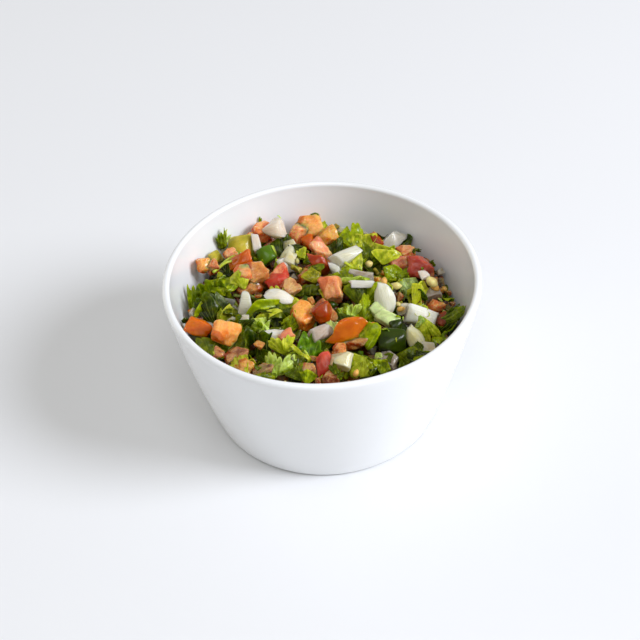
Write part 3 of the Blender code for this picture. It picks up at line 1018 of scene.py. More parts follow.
def turn_of(spin, lean, side):
    """Spin about the piece's own upright, then lean towards the camera, then to the side."""
    turns = zip((side, lean, spin), "YXZ")
    first, second, third = (Matrix.Rotation(math.radians(by), 3, axis) for by, axis in turns)
    return first @ second @ third


def linear(value):
    return value / 12.92 if value <= 0.04045 else ((value + 0.055) / 1.055) ** 2.4


def toned(kind, tone, draw, spread, shade=1.0):
    """The tone's two colours, linear, each drawn a little lighter or darker, and darkened by shade as
    painted shade for pieces that lie low.
    """
    light = math.log(shade) + draw.gauss(0, spread)
    return [
        [min(1.0, linear(c) * math.exp(light + draw.gauss(0, spread / 3))) for c in pair]
        for pair in TONES[kind][tone]
    ]


class Kind:
    """Pieces of one kind, as rows for the points that Geometry Nodes set the forms on."""

    def __init__(self, name, styled_forms):
        self.name = name
        self.styles, self.forms = zip(*styled_forms)
        self.rows = []

    def pick(self, style, draw):
        return draw.choice([n for n, own in enumerate(self.styles) if own == style])

    def shape(self, number, turn, scale):
        return (self.forms[number].points * np.array(scale)) @ np.array(turn).T

    def add(self, number, place, turn, scale, tones, draw):
        self.rows.append((number, tuple(place), turn.to_euler()[:], scale, *tones, draw.random()))


class Laying:
    """Lays the pieces on the bed, from the core up."""

    # The share of a piece that sinks into what lies under it
    SUNK, DROPPED_SUNK = 0.12, 0.4  # scattered pieces and leaves
    SHOWN_SUNK, LEAF_SUNK, STEM_SUNK = 0.22, 0.35, 0.5

    # How much lighter or darker one piece is than the next
    SPREAD, DROPPED_SPREAD = 0.16, 0.14
    SHOWN_SPREAD, LEAF_SPREAD, STEM_SPREAD = 0.04, 0.05, 0.08

    REACH = 0.053  # of the scattered pieces, from the middle
    SPOTS = 14  # random spots that are tried, for the lowest of them
    FEW_SPOTS = (3, 9)  # the same for scraps and seeds, so that some of them lie high
    TURNS, LOOSE_TURNS = 5, 3  # ways round that are tried, for the one that lies lowest
    SMOOTHINGS = 5  # of the lift under a leaf
    TILT = 0.5  # of a scattered piece, in radians
    SPIN = 6.28  # about a full turn
    TORN, SCRAP, CRUMB = (0.0060, 0.0100), (0.0020, 0.0050), (0.0014, 0.0036)  # from, to
    # Shares of their colour that loose scraps, seeds and crumbs keep: painted shade in the low spots where
    # they lie.
    LOOSE_SHADE, CRUMB_SHADE = 0.80, 0.66
    LOWEST, HIGHEST, RAISED_HIGHEST = -0.0015, 0.0042, 0.0058  # of shown pieces, from the level
    RAISED_STEP = 0.0005
    PRESSED = 0.0018  # how far the wall may press a leaf in
    LEAF_LIFT = 0.0030
    LEAF_CLEAR = 0.00025  # of what a leaf lies on

    def __init__(self):
        self.draw = random.Random(settings().heap.seed)
        self.bed = Bed()
        self.kinds = {kind: Kind(kind, cut_forms(kind)) for kind in CUTS}
        self.kinds["seed"] = Kind("seed", seed_forms())
        self.leaves = {"coriander_leaves": [], "coriander_chopped": []}
        self.stems = []

    def rest(self, what, style, scale, x, y, tone, shade, tries, unseen=False):
        """Lays a piece near (x, y), turned the way that lies lowest of a few.

        Where it has to be unseen and would stand up over the front rim, it isn't laid.
        """
        kind, draw, best = self.kinds[what], self.draw, None
        for _ in range(tries):
            number = kind.pick(style, draw)
            tilts = [draw.gauss(0, self.TILT) for _ in range(2)]
            turn = Euler((*tilts, draw.uniform(0, self.SPIN))).to_matrix()
            shape = kind.shape(number, turn, scale)
            place = self.bed.settle(shape, x, y, self.SUNK)
            top = place[2] + float(shape[:, 2].max())
            if best is None or top < best[0]:
                best = (top, number, turn, shape, place)
        top, number, turn, shape, place = best
        if unseen and not behind_rim(place[0], place[1] + float(shape[:, 1].max()), top):
            return
        kind.add(number, place, turn, scale, toned(what, tone, draw, self.SPREAD, shade), draw)
        self.bed.cover(shape + place)

    def aim(self, px, py, shape, sunk, give=0.0):
        """Where a shape rests with its middle showing at (px, py).

        At the wall it stands higher rather than further in, and the wall may press it in by give.
        """
        z = settings().heap.edge_level + settings().heap.crown
        top = HEAP_TOP - float(shape[:, 2].max())
        for _ in range(6):
            spot = VIEW.at_level(px, py, z)
            x, y, z = self.bed.settle(shape, spot.x, spot.y, sunk)
            level = float(heap_level(x, y))
            z = max(min(z, level + self.HIGHEST, top), level + self.LOWEST)
        highest = max(z, min(level + self.RAISED_HIGHEST, top))
        for raised in np.arange(z, highest + self.RAISED_STEP, self.RAISED_STEP):
            spot = VIEW.at_level(px, py, raised)
            if self.bed.over_wall(shape + (spot.x, spot.y, raised)) <= give:
                return spot.x, spot.y, float(raised)
        return x, y, z

    def show(self, *rows):
        """Lays pieces so that they show where the photograph has them."""
        for row in rows:
            {Chunk: self.show_chunk, Leaf: self.show_leaf, Stem: self.show_stem}[type(row)](row)

    def show_chunk(self, chunk):
        kind, draw = self.kinds[chunk.kind], self.draw
        number = kind.pick(chunk.form, draw)
        scale = [s * MM for s in chunk.size]
        turn = turn_of(chunk.spin, chunk.lean, chunk.side)
        shape = kind.shape(number, turn, scale)
        place = self.aim(chunk.px, chunk.py, shape, self.SHOWN_SUNK)
        tones = toned(chunk.kind, chunk.tone, draw, self.SHOWN_SPREAD)
        kind.add(number, place, turn, scale, tones, draw)
        self.bed.cover(shape + place)

    def show_leaf(self, leaf):
        width, length = (s * MM for s in leaf.size)
        sheet, vein = leaf_sheet(leaf.style, width, length, leaf.curl, leaf.arch, self.draw, True)
        shape = sheet @ np.array(turn_of(leaf.spin, leaf.lean, leaf.side)).T
        place = self.aim(leaf.px, leaf.py, shape.reshape(-1, 3), self.LEAF_SUNK, self.PRESSED)
        lift = self.LEAF_LIFT * max(0.0, math.cos(math.radians(leaf.lean + 10)))
        shape = self.drape(shape + place, lift)
        tones = toned("leaf", leaf.tone, self.draw, self.LEAF_SPREAD)
        self.leaves["coriander_leaves"].append((shape, vein, tones))

    def show_stem(self, stem):
        line = stem_line(stem.length * MM, stem.curl)
        shape = line @ np.array(turn_of(stem.spin, stem.lean, 0)).T
        place = self.aim(stem.px, stem.py, shape, self.STEM_SUNK)
        tones = toned("leaf", stem.tone, self.draw, self.STEM_SPREAD)
        self.stems.append((shape + place, tones))

    def drop_leaf(self, x, y, base, tone, shade, tilt=0.25):
        """Lays a leaf on the slope it finds near (x, y)."""
        draw = self.draw
        style = draw.choice(("frond", "round", "fan", "cut", "cut", "strip"))
        across = base * draw.uniform(0.7, 1.2)
        along = across * (0.45 if style == "strip" else draw.uniform(0.7, 1.0))
        curl, arch = draw.uniform(-0.4, 0.9), draw.uniform(-0.2, 0.6)
        sheet, vein = leaf_sheet(style, across, along, curl, arch, draw, False)
        i, j = self.bed.cell_of(sheet[..., 0].ravel() + x, sheet[..., 1].ravel() + y)
        plane = np.column_stack([self.bed.x[i, j], self.bed.y[i, j], np.ones(len(i))])
        slope = np.linalg.lstsq(plane, self.bed.height[i, j], rcond=None)[0]
        normal = Vector((-slope[0], -slope[1], 1.0)).normalized()
        normal = (normal + Vector((draw.gauss(0, tilt), draw.gauss(0, tilt), 0))).normalized()
        spin = Matrix.Rotation(draw.uniform(0, self.SPIN), 3, "Z")
        shape = sheet @ np.array(normal.to_track_quat("Z", "Y").to_matrix() @ spin).T
        place = self.bed.settle(shape.reshape(-1, 3), x, y, self.DROPPED_SUNK)
        tones = toned("leaf", tone, draw, self.DROPPED_SPREAD, shade)
        shape = self.drape(shape + place, self.LEAF_LIFT)
        self.leaves["coriander_chopped"].append((shape, vein, tones))

    def drape(self, shape, most):
        """Lifts a leaf off what it would cut into, softly, and keeps it in the bowl."""
        over = self.bed.at(shape[..., 0], shape[..., 1]) + self.LEAF_CLEAR - shape[..., 2]
        lift = np.clip(over, 0, most)
        for _ in range(self.SMOOTHINGS):
            padded = np.pad(lift, 1, mode="edge")
            around = padded[:-2, 1:-1] + padded[2:, 1:-1] + padded[1:-1, :-2] + padded[1:-1, 2:]
            lift = 0.2 * lift + 0.2 * around
        shape = shape.copy()
        shape[..., 2] = np.minimum(shape[..., 2] + lift, HEAP_TOP)
        radius = np.hypot(shape[..., 0], shape[..., 1])
        allowed = np.interp(shape[..., 2], self.bed.levels, self.bed.radii) - 2 * self.bed.CLEAR
        shape[..., :2] *= np.minimum(1.0, allowed / np.maximum(radius, 1e-6))[..., None]
        self.bed.cover(shape.reshape(-1, 3))
        return shape

    def fill(self, layer, share_of_size, shade, style, unseen=False):
        """Lays a layer's pieces in the lowest places, up to the layer's depth under the level, darkened by
        shade as painted shade.
        """
        p, jobs = settings(), []
        for what, tones in FILL_TONES.items():
            group = p.coriander if what == "leaf" else getattr(p, what)
            base = p.coriander.leaf if what == "leaf" else group.dice * share_of_size
            jobs += [(what, base, self.draw.choice(tones)) for _ in range(getattr(group, layer))]
        self.draw.shuffle(jobs)
        for what, base, tone in jobs:
            (x, y), lack = self.bed.lowest_spot(self.draw, self.SPOTS, self.REACH, unseen)
            if lack < getattr(p.heap, f"{layer}_depth"):
                continue
            if what == "leaf":
                self.drop_leaf(x, y, base, tone, shade)  # flat enough to stay unseen
            else:
                scale = [base * self.draw.uniform(0.7, 1.2) for _ in range(3)]
                self.rest(what, style, scale, x, y, tone, shade, self.TURNS, unseen)

    def scatter(self):
        """Scraps, crumbs and seeds that lie loose on top."""
        p, draw = settings(), self.draw
        for number, sizes, tones in (
            (p.coriander.pieces, self.TORN, ("green", "dark", "bright", "lime", "green")),
            (p.coriander.scraps, self.SCRAP, ("lime", "bright", "green", "pale", "bright")),
        ):
            for _ in range(number):
                (x, y), _ = self.bed.lowest_spot(draw, draw.choice(self.FEW_SPOTS), self.REACH)
                base, tone = draw.uniform(*sizes), draw.choice(tones)
                self.drop_leaf(x, y, base, tone, self.LOOSE_SHADE, self.TILT)
        for what, tones in CRUMB_TONES.items():
            for _ in range(getattr(p, what).crumbs):
                (x, y), _ = self.bed.lowest_spot(draw, self.SPOTS, self.REACH)
                scale = [draw.uniform(*self.CRUMB) for _ in range(3)]
                tone, tries = draw.choice(tones), self.LOOSE_TURNS
                self.rest(what, "crumb", scale, x, y, tone, self.CRUMB_SHADE, tries)
        for _ in range(p.seeds.scattered):
            (x, y), _ = self.bed.lowest_spot(draw, self.FEW_SPOTS[-1], self.REACH)
            length = p.seeds.length * draw.uniform(0.6, 1.1)
            tone, tries = draw.choice(("tan", "yellow")), self.LOOSE_TURNS
            self.rest("seed", "seed", [length] * 3, x, y, tone, self.LOOSE_SHADE, tries)


# ---------------------------------------------------------------- Geometry Nodes


class Nodes:
    """A node tree that is built a node at a time."""

    def __init__(self, tree):
        self.tree = tree

    def feed(self, socket, value):
        if isinstance(value, bpy.types.NodeSocket):
            self.tree.links.new(value, socket)
        else:
            socket.default_value = value

    def add(self, kind, inputs=None, **own):
        """A new node, with values or links for its inputs; own are the node's own settings."""
        node = self.tree.nodes.new(kind)
        for key, value in own.items():
            setattr(node, key, value)
        for key, value in (inputs or {}).items():
            self.feed(node.inputs[key], value)
        return node

    def maths(self, operation, *values):
        return self.add("ShaderNodeMath", dict(enumerate(values)), operation=operation).outputs[0]


class GeometryTree(Nodes):
    """A tree with a geometry input, the named inputs and a material."""

    def __init__(self, name, inputs):
        super().__init__(bpy.data.node_groups.new(name, "GeometryNodeTree"))
        named = {"Geometry": "Geometry", **inputs, "Material": "Material"}
        for label, kind in named.items():
            socket = f"NodeSocket{kind}"
            self.tree.interface.new_socket(label, in_out="INPUT", socket_type=socket)
        self.tree.interface.new_socket(
            "Geometry", in_out="OUTPUT", socket_type="NodeSocketGeometry")
        self.given = self.add("NodeGroupInput").outputs

    def end(self, geometry):
        """Makes copies real, smooths them, gives them the material and ends the tree."""
        for kind in ("RealizeInstances", "SetShadeSmooth", "SetMaterial"):
            node = self.add(f"GeometryNode{kind}", {"Geometry": geometry})
            geometry = node.outputs[0]
        self.feed(node.inputs["Material"], self.given["Material"])
        self.add("NodeGroupOutput", {0: geometry})
        return self.tree


def run_nodes(holder, tree, values, name):
    """The tree's result on the holder object, as a plain mesh object of that name."""
    modifier = holder.modifiers.new(tree.name, "NODES")
    modifier.node_group = tree
    for item in tree.interface.items_tree:
        if item.in_out == "INPUT" and item.name in values:
            modifier[item.identifier] = values[item.name]
    graph = bpy.context.evaluated_depsgraph_get()
    mesh = bpy.data.meshes.new_from_object(holder.evaluated_get(graph))
    mesh.name = name
    holder.modifiers.remove(modifier)
    bpy.data.objects.remove(holder)
    return linked(name, mesh)


def turning_tree():
    """Turns a profile, drawn in the XZ plane from the axis and back to it, round Z."""
    t = GeometryTree("Turned bowl", {"Steps": "Int"})
    steps = t.given["Steps"]
    curve = t.add("GeometryNodeMeshToCurve", {"Mesh": t.given["Geometry"]}).outputs[0]
    size_of = t.add("GeometryNodeAttributeDomainSize", {"Geometry": curve}, component="CURVE")
    grid = {"Size X": 1.0, "Size Y": 1.0, "Vertices X": size_of.outputs["Point Count"], "Vertices Y": steps}
    wall = t.add("GeometryNodeMeshGrid", grid).outputs["Mesh"]
    index = t.add("GeometryNodeInputIndex").outputs[0]
    point = t.maths("FLOOR", t.maths("DIVIDE", index, steps))
    share_round = t.maths("DIVIDE", t.maths("MODULO", index, steps), t.maths("SUBTRACT", steps, 1.0))
    where = {"Geometry": curve, "Value": t.add("GeometryNodeInputPosition").outputs[0], "Index": point}
    sample = t.add("GeometryNodeSampleIndex", where, data_type="FLOAT_VECTOR").outputs[0]
    angle_round = t.maths("MULTIPLY", share_round, FULL_TURN)
    place = t.add("ShaderNodeVectorRotate", {"Vector": sample, "Angle": angle_round}, rotation_type="Z_AXIS")
    moved = t.add("GeometryNodeSetPosition", {"Geometry": wall, "Position": place.outputs[0]})
    merged = t.add("GeometryNodeMergeByDistance", {"Geometry": moved.outputs[0], "Distance": 0.00001})
    return t.end(merged.outputs[0])


def setting_tree():
    """Sets a form on each point, as the point's attributes say, and makes the copies real."""
    t = GeometryTree("Set pieces", {"Forms": "Collection"})

    def named(name, data_type):
        return t.add("GeometryNodeInputNamedAttribute", {"Name": name}, data_type=data_type).outputs[0]

    forms = {"Collection": t.given["Forms"], "Separate Children": True, "Reset Children": True}
    turn = t.add("FunctionNodeEulerToRotation", {0: named("turn", "FLOAT_VECTOR")})
    put = t.add("GeometryNodeInstanceOnPoints", {
        "Points": t.add("GeometryNodeMeshToPoints", {"Mesh": t.given["Geometry"]}).outputs[0],
        "Instance": t.add("GeometryNodeCollectionInfo", forms).outputs[0],
        "Pick Instance": True,
        "Instance Index": named("form", "INT"),
        "Rotation": turn.outputs[0],
        "Scale": named("size", "FLOAT_VECTOR"),
    })
    return t.end(put.outputs[0])


def linked(name, data):
    """A new object in the scene."""
    thing = bpy.data.objects.new(name, data)
    bpy.context.scene.collection.objects.link(thing)
    return thing


def attribute_on(mesh, label, data_type, field, values):
    layer = mesh.attributes.new(label, data_type, "POINT")
    number = np.int32 if data_type == "INT" else np.float32
    layer.data.foreach_set(field, np.array(values, number).ravel())


def form_object(name, form):
    mesh = bpy.data.meshes.new(name)
    mesh.from_pydata(form.points.tolist(), [], form.faces)
    attribute_on(mesh, "skin", "FLOAT", "value", form.skin)
    attribute_on(mesh, "rim", "FLOAT", "value", form.rim)
    attribute_on(mesh, "rest", "FLOAT_VECTOR", "vector", form.points)
    return bpy.data.objects.new(name, mesh)


def set_pieces(kind, name, material):
    """The kind's pieces as one plain mesh, by Geometry Nodes."""
    forms = bpy.data.collections.new(f"{kind.name} forms")
    for n, form in enumerate(kind.forms):
        forms.objects.link(form_object(f"{kind.name}_{n:02d}", form))
    numbers, places, turns, sizes, tones, skins, chances = zip(*kind.rows)
    mesh = bpy.data.meshes.new(f"{kind.name} places")
    mesh.from_pydata(places, [], [])
    attribute_on(mesh, "form", "INT", "value", numbers)
    attribute_on(mesh, "turn", "FLOAT_VECTOR", "vector", turns)
    attribute_on(mesh, "size", "FLOAT_VECTOR", "vector", sizes)
    attribute_on(mesh, "tone", "FLOAT_COLOR", "color", [(*tone, 1.0) for tone in tones])
    attribute_on(mesh, "tone_skin", "FLOAT_COLOR", "color", [(*tone, 1.0) for tone in skins])
    attribute_on(mesh, "chance", "FLOAT", "value", chances)
    holder = linked(mesh.name, mesh)
    piece = run_nodes(holder, setting_tree(), {"Forms": forms, "Material": material}, name)
    for child in list(forms.objects):
        bpy.data.objects.remove(child)
    return piece


# ---------------------------------------------------------------- finishes


class Finish(Nodes):
    """A new material, and the few kinds of node that the finishes are made of."""

    def __init__(self, name):
        self.material = bpy.data.materials.new(name)
        self.material.use_nodes = True
        super().__init__(self.material.node_tree)
        self.shader = self.tree.nodes["Principled BSDF"]

    def set(self, values):
        for socket, value in values.items():
            self.feed(self.shader.inputs[socket], value)

    def shine(self, roughness, specular, coat, coat_roughness):
        self.set({"Roughness": roughness, "Specular IOR Level": specular,
                  "Coat Weight": coat, "Coat Roughness": coat_roughness})

    def light_inside(self, weight, radius, scale):
        self.set({"Subsurface Weight": weight, "Subsurface Radius": radius, "Subsurface Scale": scale})

    def attribute(self, name, output="Color"):
        return self.add("ShaderNodeAttribute", attribute_name=name).outputs[output]

    def object_place(self):
        return self.add("ShaderNodeTexCoord").outputs["Object"]

    def own_place(self):
        """Each piece's own coordinates, shifted by its chance so that no two are alike."""
        shift = self.maths("MULTIPLY", self.attribute("chance", "Fac"), 37.0)
        parts = {0: self.attribute("rest", "Vector"), 1: shift}
        return self.add("ShaderNodeVectorMath", parts, operation="ADD").outputs[0]

    def mix(self, factor, first, second, blend="MIX"):
        """Two colours mixed; a plain colour is given as red, green and blue."""
        first, second = ((*c, 1) if isinstance(c, tuple) else c for c in (first, second))
        node = self.add("ShaderNodeMix", data_type="RGBA", blend_type=blend)
        for number, value in ((0, factor), (6, first), (7, second)):
            self.feed(node.inputs[number], value)
        return node.outputs[2]

    def ranged(self, value, low, high, to_low=0.0, to_high=1.0):
        bounds = {"Value": value, "From Min": low, "From Max": high, "To Min": to_low, "To Max": to_high}
        return self.add("ShaderNodeMapRange", bounds).outputs[0]

    def noise(self, place, scale, detail=3.0, rough=0.55, distortion=0.0):
        return self.add("ShaderNodeTexNoise", {
            "Vector": place, "Scale": scale, "Detail": detail, "Roughness": rough,
            "Distortion": distortion}).outputs["Fac"]

    def patches(self, place, scale, low, high, detail=3.0):
        """Noise as patches with soft edges, from 0 to 1."""
        return self.ranged(self.noise(place, scale, detail), low, high)

    def stretched(self, place, scale):
        return self.add("ShaderNodeMapping", {"Vector": place, "Scale": scale}).outputs[0]

    def bump(self, socket, height, strength, distance):
        values = {"Height": height, "Strength": strength, "Distance": distance}
        self.set({socket: self.add("ShaderNodeBump", values).outputs[0]})

    def film(self, height, distance):
        """Ripples in the wet film alone, which break the shine into glints."""
        self.bump("Coat Normal", height, 0.6, distance)


def darker(base, by):
    return tuple(c * by for c in base)


def glaze_finish():
    f = Finish("White glaze")
    place, glaze = f.object_place(), tuple(settings().bowl.glaze)
    f.set({
        "Base Color": f.mix(f.patches(place, 35.0, 0.3, 0.7), glaze, darker(glaze, 0.985)),
        "Roughness": f.ranged(f.noise(place, 60.0), 0.3, 0.7, 0.20, 0.27),
        "IOR": 1.5, "Coat Weight": 0.3, "Coat Roughness": 0.08,
    })
    f.bump("Normal", f.noise(place, 90.0, 2.0), 0.03, 0.001)
    return f.material


def core_finish():
    f = Finish("Juicy core")
    place = f.object_place()
    cells = f.add("ShaderNodeTexVoronoi", {"Vector": place, "Scale": 260.0, "Randomness": 1.0})
    kinds = f.add("ShaderNodeValToRGB", {"Fac": cells.outputs["Color"]})
    ramp = kinds.color_ramp
    ramp.interpolation = "CONSTANT"
    # Near black: the juice deep down, and painted shade in the gaps between the pieces.
    stops = {0.0: (0.010, 0.018, 0.002), 0.35: (0.045, 0.016, 0.004),
             0.6: (0.016, 0.026, 0.003), 0.8: (0.07, 0.045, 0.018)}
    while len(ramp.elements) < len(stops):
        ramp.elements.new(0.5)
    for element, (spot, shade) in zip(ramp.elements, stops.items()):
        element.position = spot
        element.color = (*shade, 1)
    f.set({"Base Color": kinds.outputs[0], "Roughness": 0.3})
    f.bump("Normal", f.noise(place, 500.0), 0.6, 0.001)
    return f.material


def tomato_finish():
    """Grainy wet flesh, mottled from pale to deep, with smooth skin on the skin side. The flesh is painted
    paler towards each piece's top and at its cut edges as painted light, and its pale streaks are partly
    fibres, partly painted glints.
    """
    f = Finish("Wet tomato")
    place = f.own_place()
    tone, tone_skin = f.attribute("tone"), f.attribute("tone_skin")
    pale = f.mix(0.22, tone, (1.0, 0.70, 0.27))
    # Painted light: the flesh is paler towards each piece's own top and deeper below, mixed with random
    # mottling.
    upward = f.add("ShaderNodeSeparateXYZ", {0: f.attribute("rest", "Vector")}).outputs[2]
    cloud = f.ranged(f.noise(place, 2.2, 3.0, 0.5), 0.38, 0.62, -0.56, 0.56)
    top_light_and_mottle = f.ranged(f.maths("ADD", upward, cloud), -0.30, 0.60)
    flesh = f.mix(top_light_and_mottle, f.mix(0.90, tone, tone_skin), pale)
    # Painted highlight: the flesh turns paler near the cut edges, where they catch the light.
    edge = f.maths("MULTIPLY", f.attribute("rim", "Fac"), f.noise(place, 7.0, 2.0))
    edge = f.ranged(edge, 0.34, 0.70, 0.0, 0.45)
    flesh = f.mix(edge, flesh, f.mix(0.4, pale, (1.0, 0.77, 0.38)))
    grain = f.ranged(f.noise(place, 16.0, 2.0), 0.3, 0.7, 0.90, 1.10)
    grey = f.add("ShaderNodeCombineColor", {0: grain, 1: grain, 2: grain}).outputs[0]
    flesh = f.mix(1.0, flesh, grey, "MULTIPLY")
    # Pale streaks along the flesh: partly its own fibres, partly painted glints of the wet surface.
    along = f.stretched(place, (1.0, 2.6, 1.4))
    fibres_and_painted_glints = f.ranged(f.noise(along, 4.2, 3.0, 0.6, 0.8), 0.54, 0.66, 0.0, 0.38)
    flesh = f.mix(fibres_and_painted_glints, flesh, f.mix(0.5, pale, (1.0, 0.82, 0.46)))
    red_edge = f.ranged(f.attribute("skin", "Fac"), 0.10, 0.30, 0.0, 0.72)
    flesh = f.mix(red_edge, flesh, f.mix(0.6, tone_skin, (0.36, 0.03, 0.01)))
    uneven = f.maths("SUBTRACT", f.noise(place, 5.0), 0.5)
    skin = f.ranged(f.maths("ADD", f.attribute("skin", "Fac"), uneven), 0.40, 0.62)
    rind = f.mix(f.patches(place, 2.2, 0.42, 0.60, 4.0), tone_skin, f.mix(0.45, tone_skin, tone))
    f.shine(f.ranged(skin, 0.0, 1.0, 0.34, 0.26), 0.10, settings().tomato.wetness, 0.05)
    f.set({"Base Color": f.mix(skin, flesh, rind)})
    f.film(f.noise(place, 4.0, 2.0), 0.0009)
    f.light_inside(1.0, (1.0, 0.36, 0.10), 0.0042)
    smoother = f.ranged(skin, 0, 1, 1.0, 0.25)
    f.bump("Normal", f.maths("MULTIPLY", f.noise(place, 8.0, 3.0, 0.5), smoother), 0.45, 0.0007)
    return f.material


def onion_finish():
    """Pale and half clear, with faint lines along the layer."""
    f = Finish("Wet onion")
    place, tone = f.own_place(), f.attribute("tone")
    lines = f.noise(f.stretched(place, (0.8, 8.0, 1.0)), 2.4, 3.0)
    base = f.mix(f.patches(place, 1.7, 0.35, 0.65), tone, f.mix(0.35, tone, (1.0, 0.98, 0.90)))
    base = f.mix(f.ranged(lines, 0.42, 0.66), base, f.mix(0.30, base, (0.62, 0.58, 0.42)))
    # Painted highlight: the onion turns whiter near its cut edges.
    edge = f.ranged(f.attribute("rim", "Fac"), 0.3, 1.0, 0.0, 0.45)
    base = f.mix(edge, base, f.mix(0.6, tone, (1.0, 0.99, 0.95)))
    blue = f.add("ShaderNodeSeparateColor", {0: tone}).outputs[2]
    clear = f.ranged(blue, 0.40, 0.80, 0.32, 0.06)
    f.set({"Base Color": base, "Transmission Weight": clear, "IOR": 1.36})
    f.shine(0.26, 0.2, 0.5, 0.05)
    f.film(f.noise(place, 4.0, 2.0), 0.0006)
    f.light_inside(0.9, (1.0, 0.95, 0.80), 0.0026)
    f.bump("Normal", lines, 0.5, 0.0006)
    return f.material


def chilli_finish():
    """Glossy rind on the skin side, pale flesh where it is cut."""
    f = Finish("Green chilli")
    place, tone, tone_skin = f.own_place(), f.attribute("tone"), f.attribute("tone_skin")
    skin = f.ranged(f.attribute("skin", "Fac"), 0.3, 0.5)
    flesh = f.mix(f.patches(place, 3.0, 0.4, 0.6), tone, f.mix(0.3, tone, (0.70, 0.76, 0.30)))
    deep = f.mix(0.4, tone_skin, (0.06, 0.10, 0.004))
    rind = f.mix(f.patches(place, 2.2, 0.35, 0.65), tone_skin, deep)
    f.set({"Base Color": f.mix(skin, flesh, rind)})
    f.shine(0.30, 0.15, 0.25, 0.08)
    f.light_inside(0.2, (0.4, 1.0, 0.2), 0.0012)
    f.bump("Normal", f.noise(place, 7.0), 0.2, 0.0005)
    return f.material


def leaf_finish():
    """Coriander: pale at the veins, darker towards the stalk and paler at the teeth as painted light, with
    light coming through.
    """
    f = Finish("Coriander leaf")
    vein = f.add("ShaderNodeUVMap", uv_map="Vein").outputs[0]
    across, out = f.add("ShaderNodeSeparateXYZ", {0: vein}).outputs[:2]
    place = f.object_place()
    wobble = f.maths("MULTIPLY", f.noise(place, 700.0, 2.0), 0.35)
    wave = f.maths("COSINE", f.maths("MULTIPLY", f.maths("ADD", across, wobble), FULL_TURN))
    fade = f.ranged(out, 0.9, 0.2, 0.10, 0.8)
    veins = f.maths("MULTIPLY", f.ranged(wave, -0.86, -1.0), fade)
    tone, back = f.attribute("tone"), f.attribute("tone_skin")
    shade = f.mix(0.45, tone, (0.02, 0.04, 0.002))
    base = f.mix(f.patches(place, 240.0, 0.38, 0.58, 2.0), shade, tone)
    base = f.mix(f.patches(place, 480.0, 0.46, 0.68, 2.0), base, back)
    # Painted light: the leaf turns paler towards its teeth and tips, where they catch the light.
    base = f.mix(f.ranged(out, 0.82, 1.0, 0.0, 0.6), base, back)
    f.set({"Base Color": f.mix(veins, base, f.mix(0.5, back, (0.45, 0.52, 0.10)))})
    f.shine(0.40, 0.03, 0.28, 0.10)
    f.film(f.noise(place, 350.0, 2.0), 0.0006)
    f.light_inside(0.5, (0.7, 1.0, 0.05), 0.0012)
    f.bump("Normal", f.maths("ADD", wave, f.noise(place, 900.0)), 0.3, 0.0003)
    return f.material


def stem_finish():
    f = Finish("Coriander stem")
    tone = f.attribute("tone")
    streaks = f.patches(f.object_place(), 900.0, 0.4, 0.6)
    f.set({"Base Color": f.mix(streaks, tone, f.mix(0.4, tone, (0.60, 0.66, 0.20)))})
    f.shine(0.3, 0.3, 0.1, 0.1)
    f.light_inside(0.4, (0.5, 1.0, 0.2), 0.001)
    return f.material


def seed_finish():
    f = Finish("Pale seed")
    tone = f.attribute("tone")
    spots = f.patches(f.own_place(), 3.0, 0.4, 0.65)
    f.set({"Base Color": f.mix(spots, tone, f.mix(0.5, tone, (0.45, 0.24, 0.06)))})
    f.shine(0.3, 0.35, 0.3, 0.06)
    f.light_inside(0.3, (1.0, 0.7, 0.35), 0.0008)
    return f.material


def table_finish():
    f = Finish("Pale table")
    base = tuple(settings().stage.floor)
    tint = f.mix(f.noise(f.object_place(), 6.0, 2.0), base, darker(base, 0.99))
    f.set({"Base Color": tint, "Roughness": 0.75, "Specular IOR Level": 0.2})
    return f.material


# ---------------------------------------------------------------- operators


LAID = {}  # holds the laying that pico.lay leaves for the operators after it


def laid():
    if "laying" not in LAID:
        raise RuntimeError("the heap isn't laid yet: run pico.lay first")
    return LAID["laying"]


def finished(piece, slot, *nodes):
    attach(piece, BODY)
    if nodes:
        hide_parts(*nodes)


def set_kind(kind, name, material):
    """Sets one kind of piece where the heap has it."""
    finished(set_pieces(laid().kinds[kind], name, material), kind)
    return {"FINISHED"}


class PICO_OT_bowl(bpy.types.Operator):
    """Turn the white bowl from its profile"""

    bl_idname = "pico.bowl"
    bl_label = "White bowl"

    def execute(self, context):
        profile = bowl_profile()
        mesh = bpy.data.meshes.new("bowl profile")
        lines = [(i, i + 1) for i in range(len(profile) - 1)]
        mesh.from_pydata([(r, 0.0, z) for r, z in profile], lines, [])
        values = {"Steps": settings().bowl.turns + 1, "Material": glaze_finish()}
        piece = run_nodes(linked(mesh.name, mesh), turning_tree(), values, "white_bowl")
        outwards(piece.data)
        finished(piece, "white_glaze", "bowl")
        return {"FINISHED"}


class PICO_OT_lay(bpy.types.Operator):
    """Lay the heap on paper: where each piece rests"""

    bl_idname = "pico.lay"
    bl_label = "Lay the heap"

    def execute(self, context):
        laying = Laying()
        # The deep and middle pieces keep only a share of their colour: painted shade in the gaps between the
        # shown pieces.
        laying.fill("deep", share_of_size=1.0, shade=0.10, style="small")
        laying.fill("middle", share_of_size=0.66, shade=0.24, style="small")
        laying.show(*UNDER_LEAVES, *CHUNKS, *STEMS, *OVER_LEAVES)
        laying.fill("front", share_of_size=0.8, shade=1.0, style="dice", unseen=True)
        laying.scatter()
        laying.show(*LATE_CHUNKS, *TOP_LEAVES)
        LAID["laying"] = laying
        return {"FINISHED"}


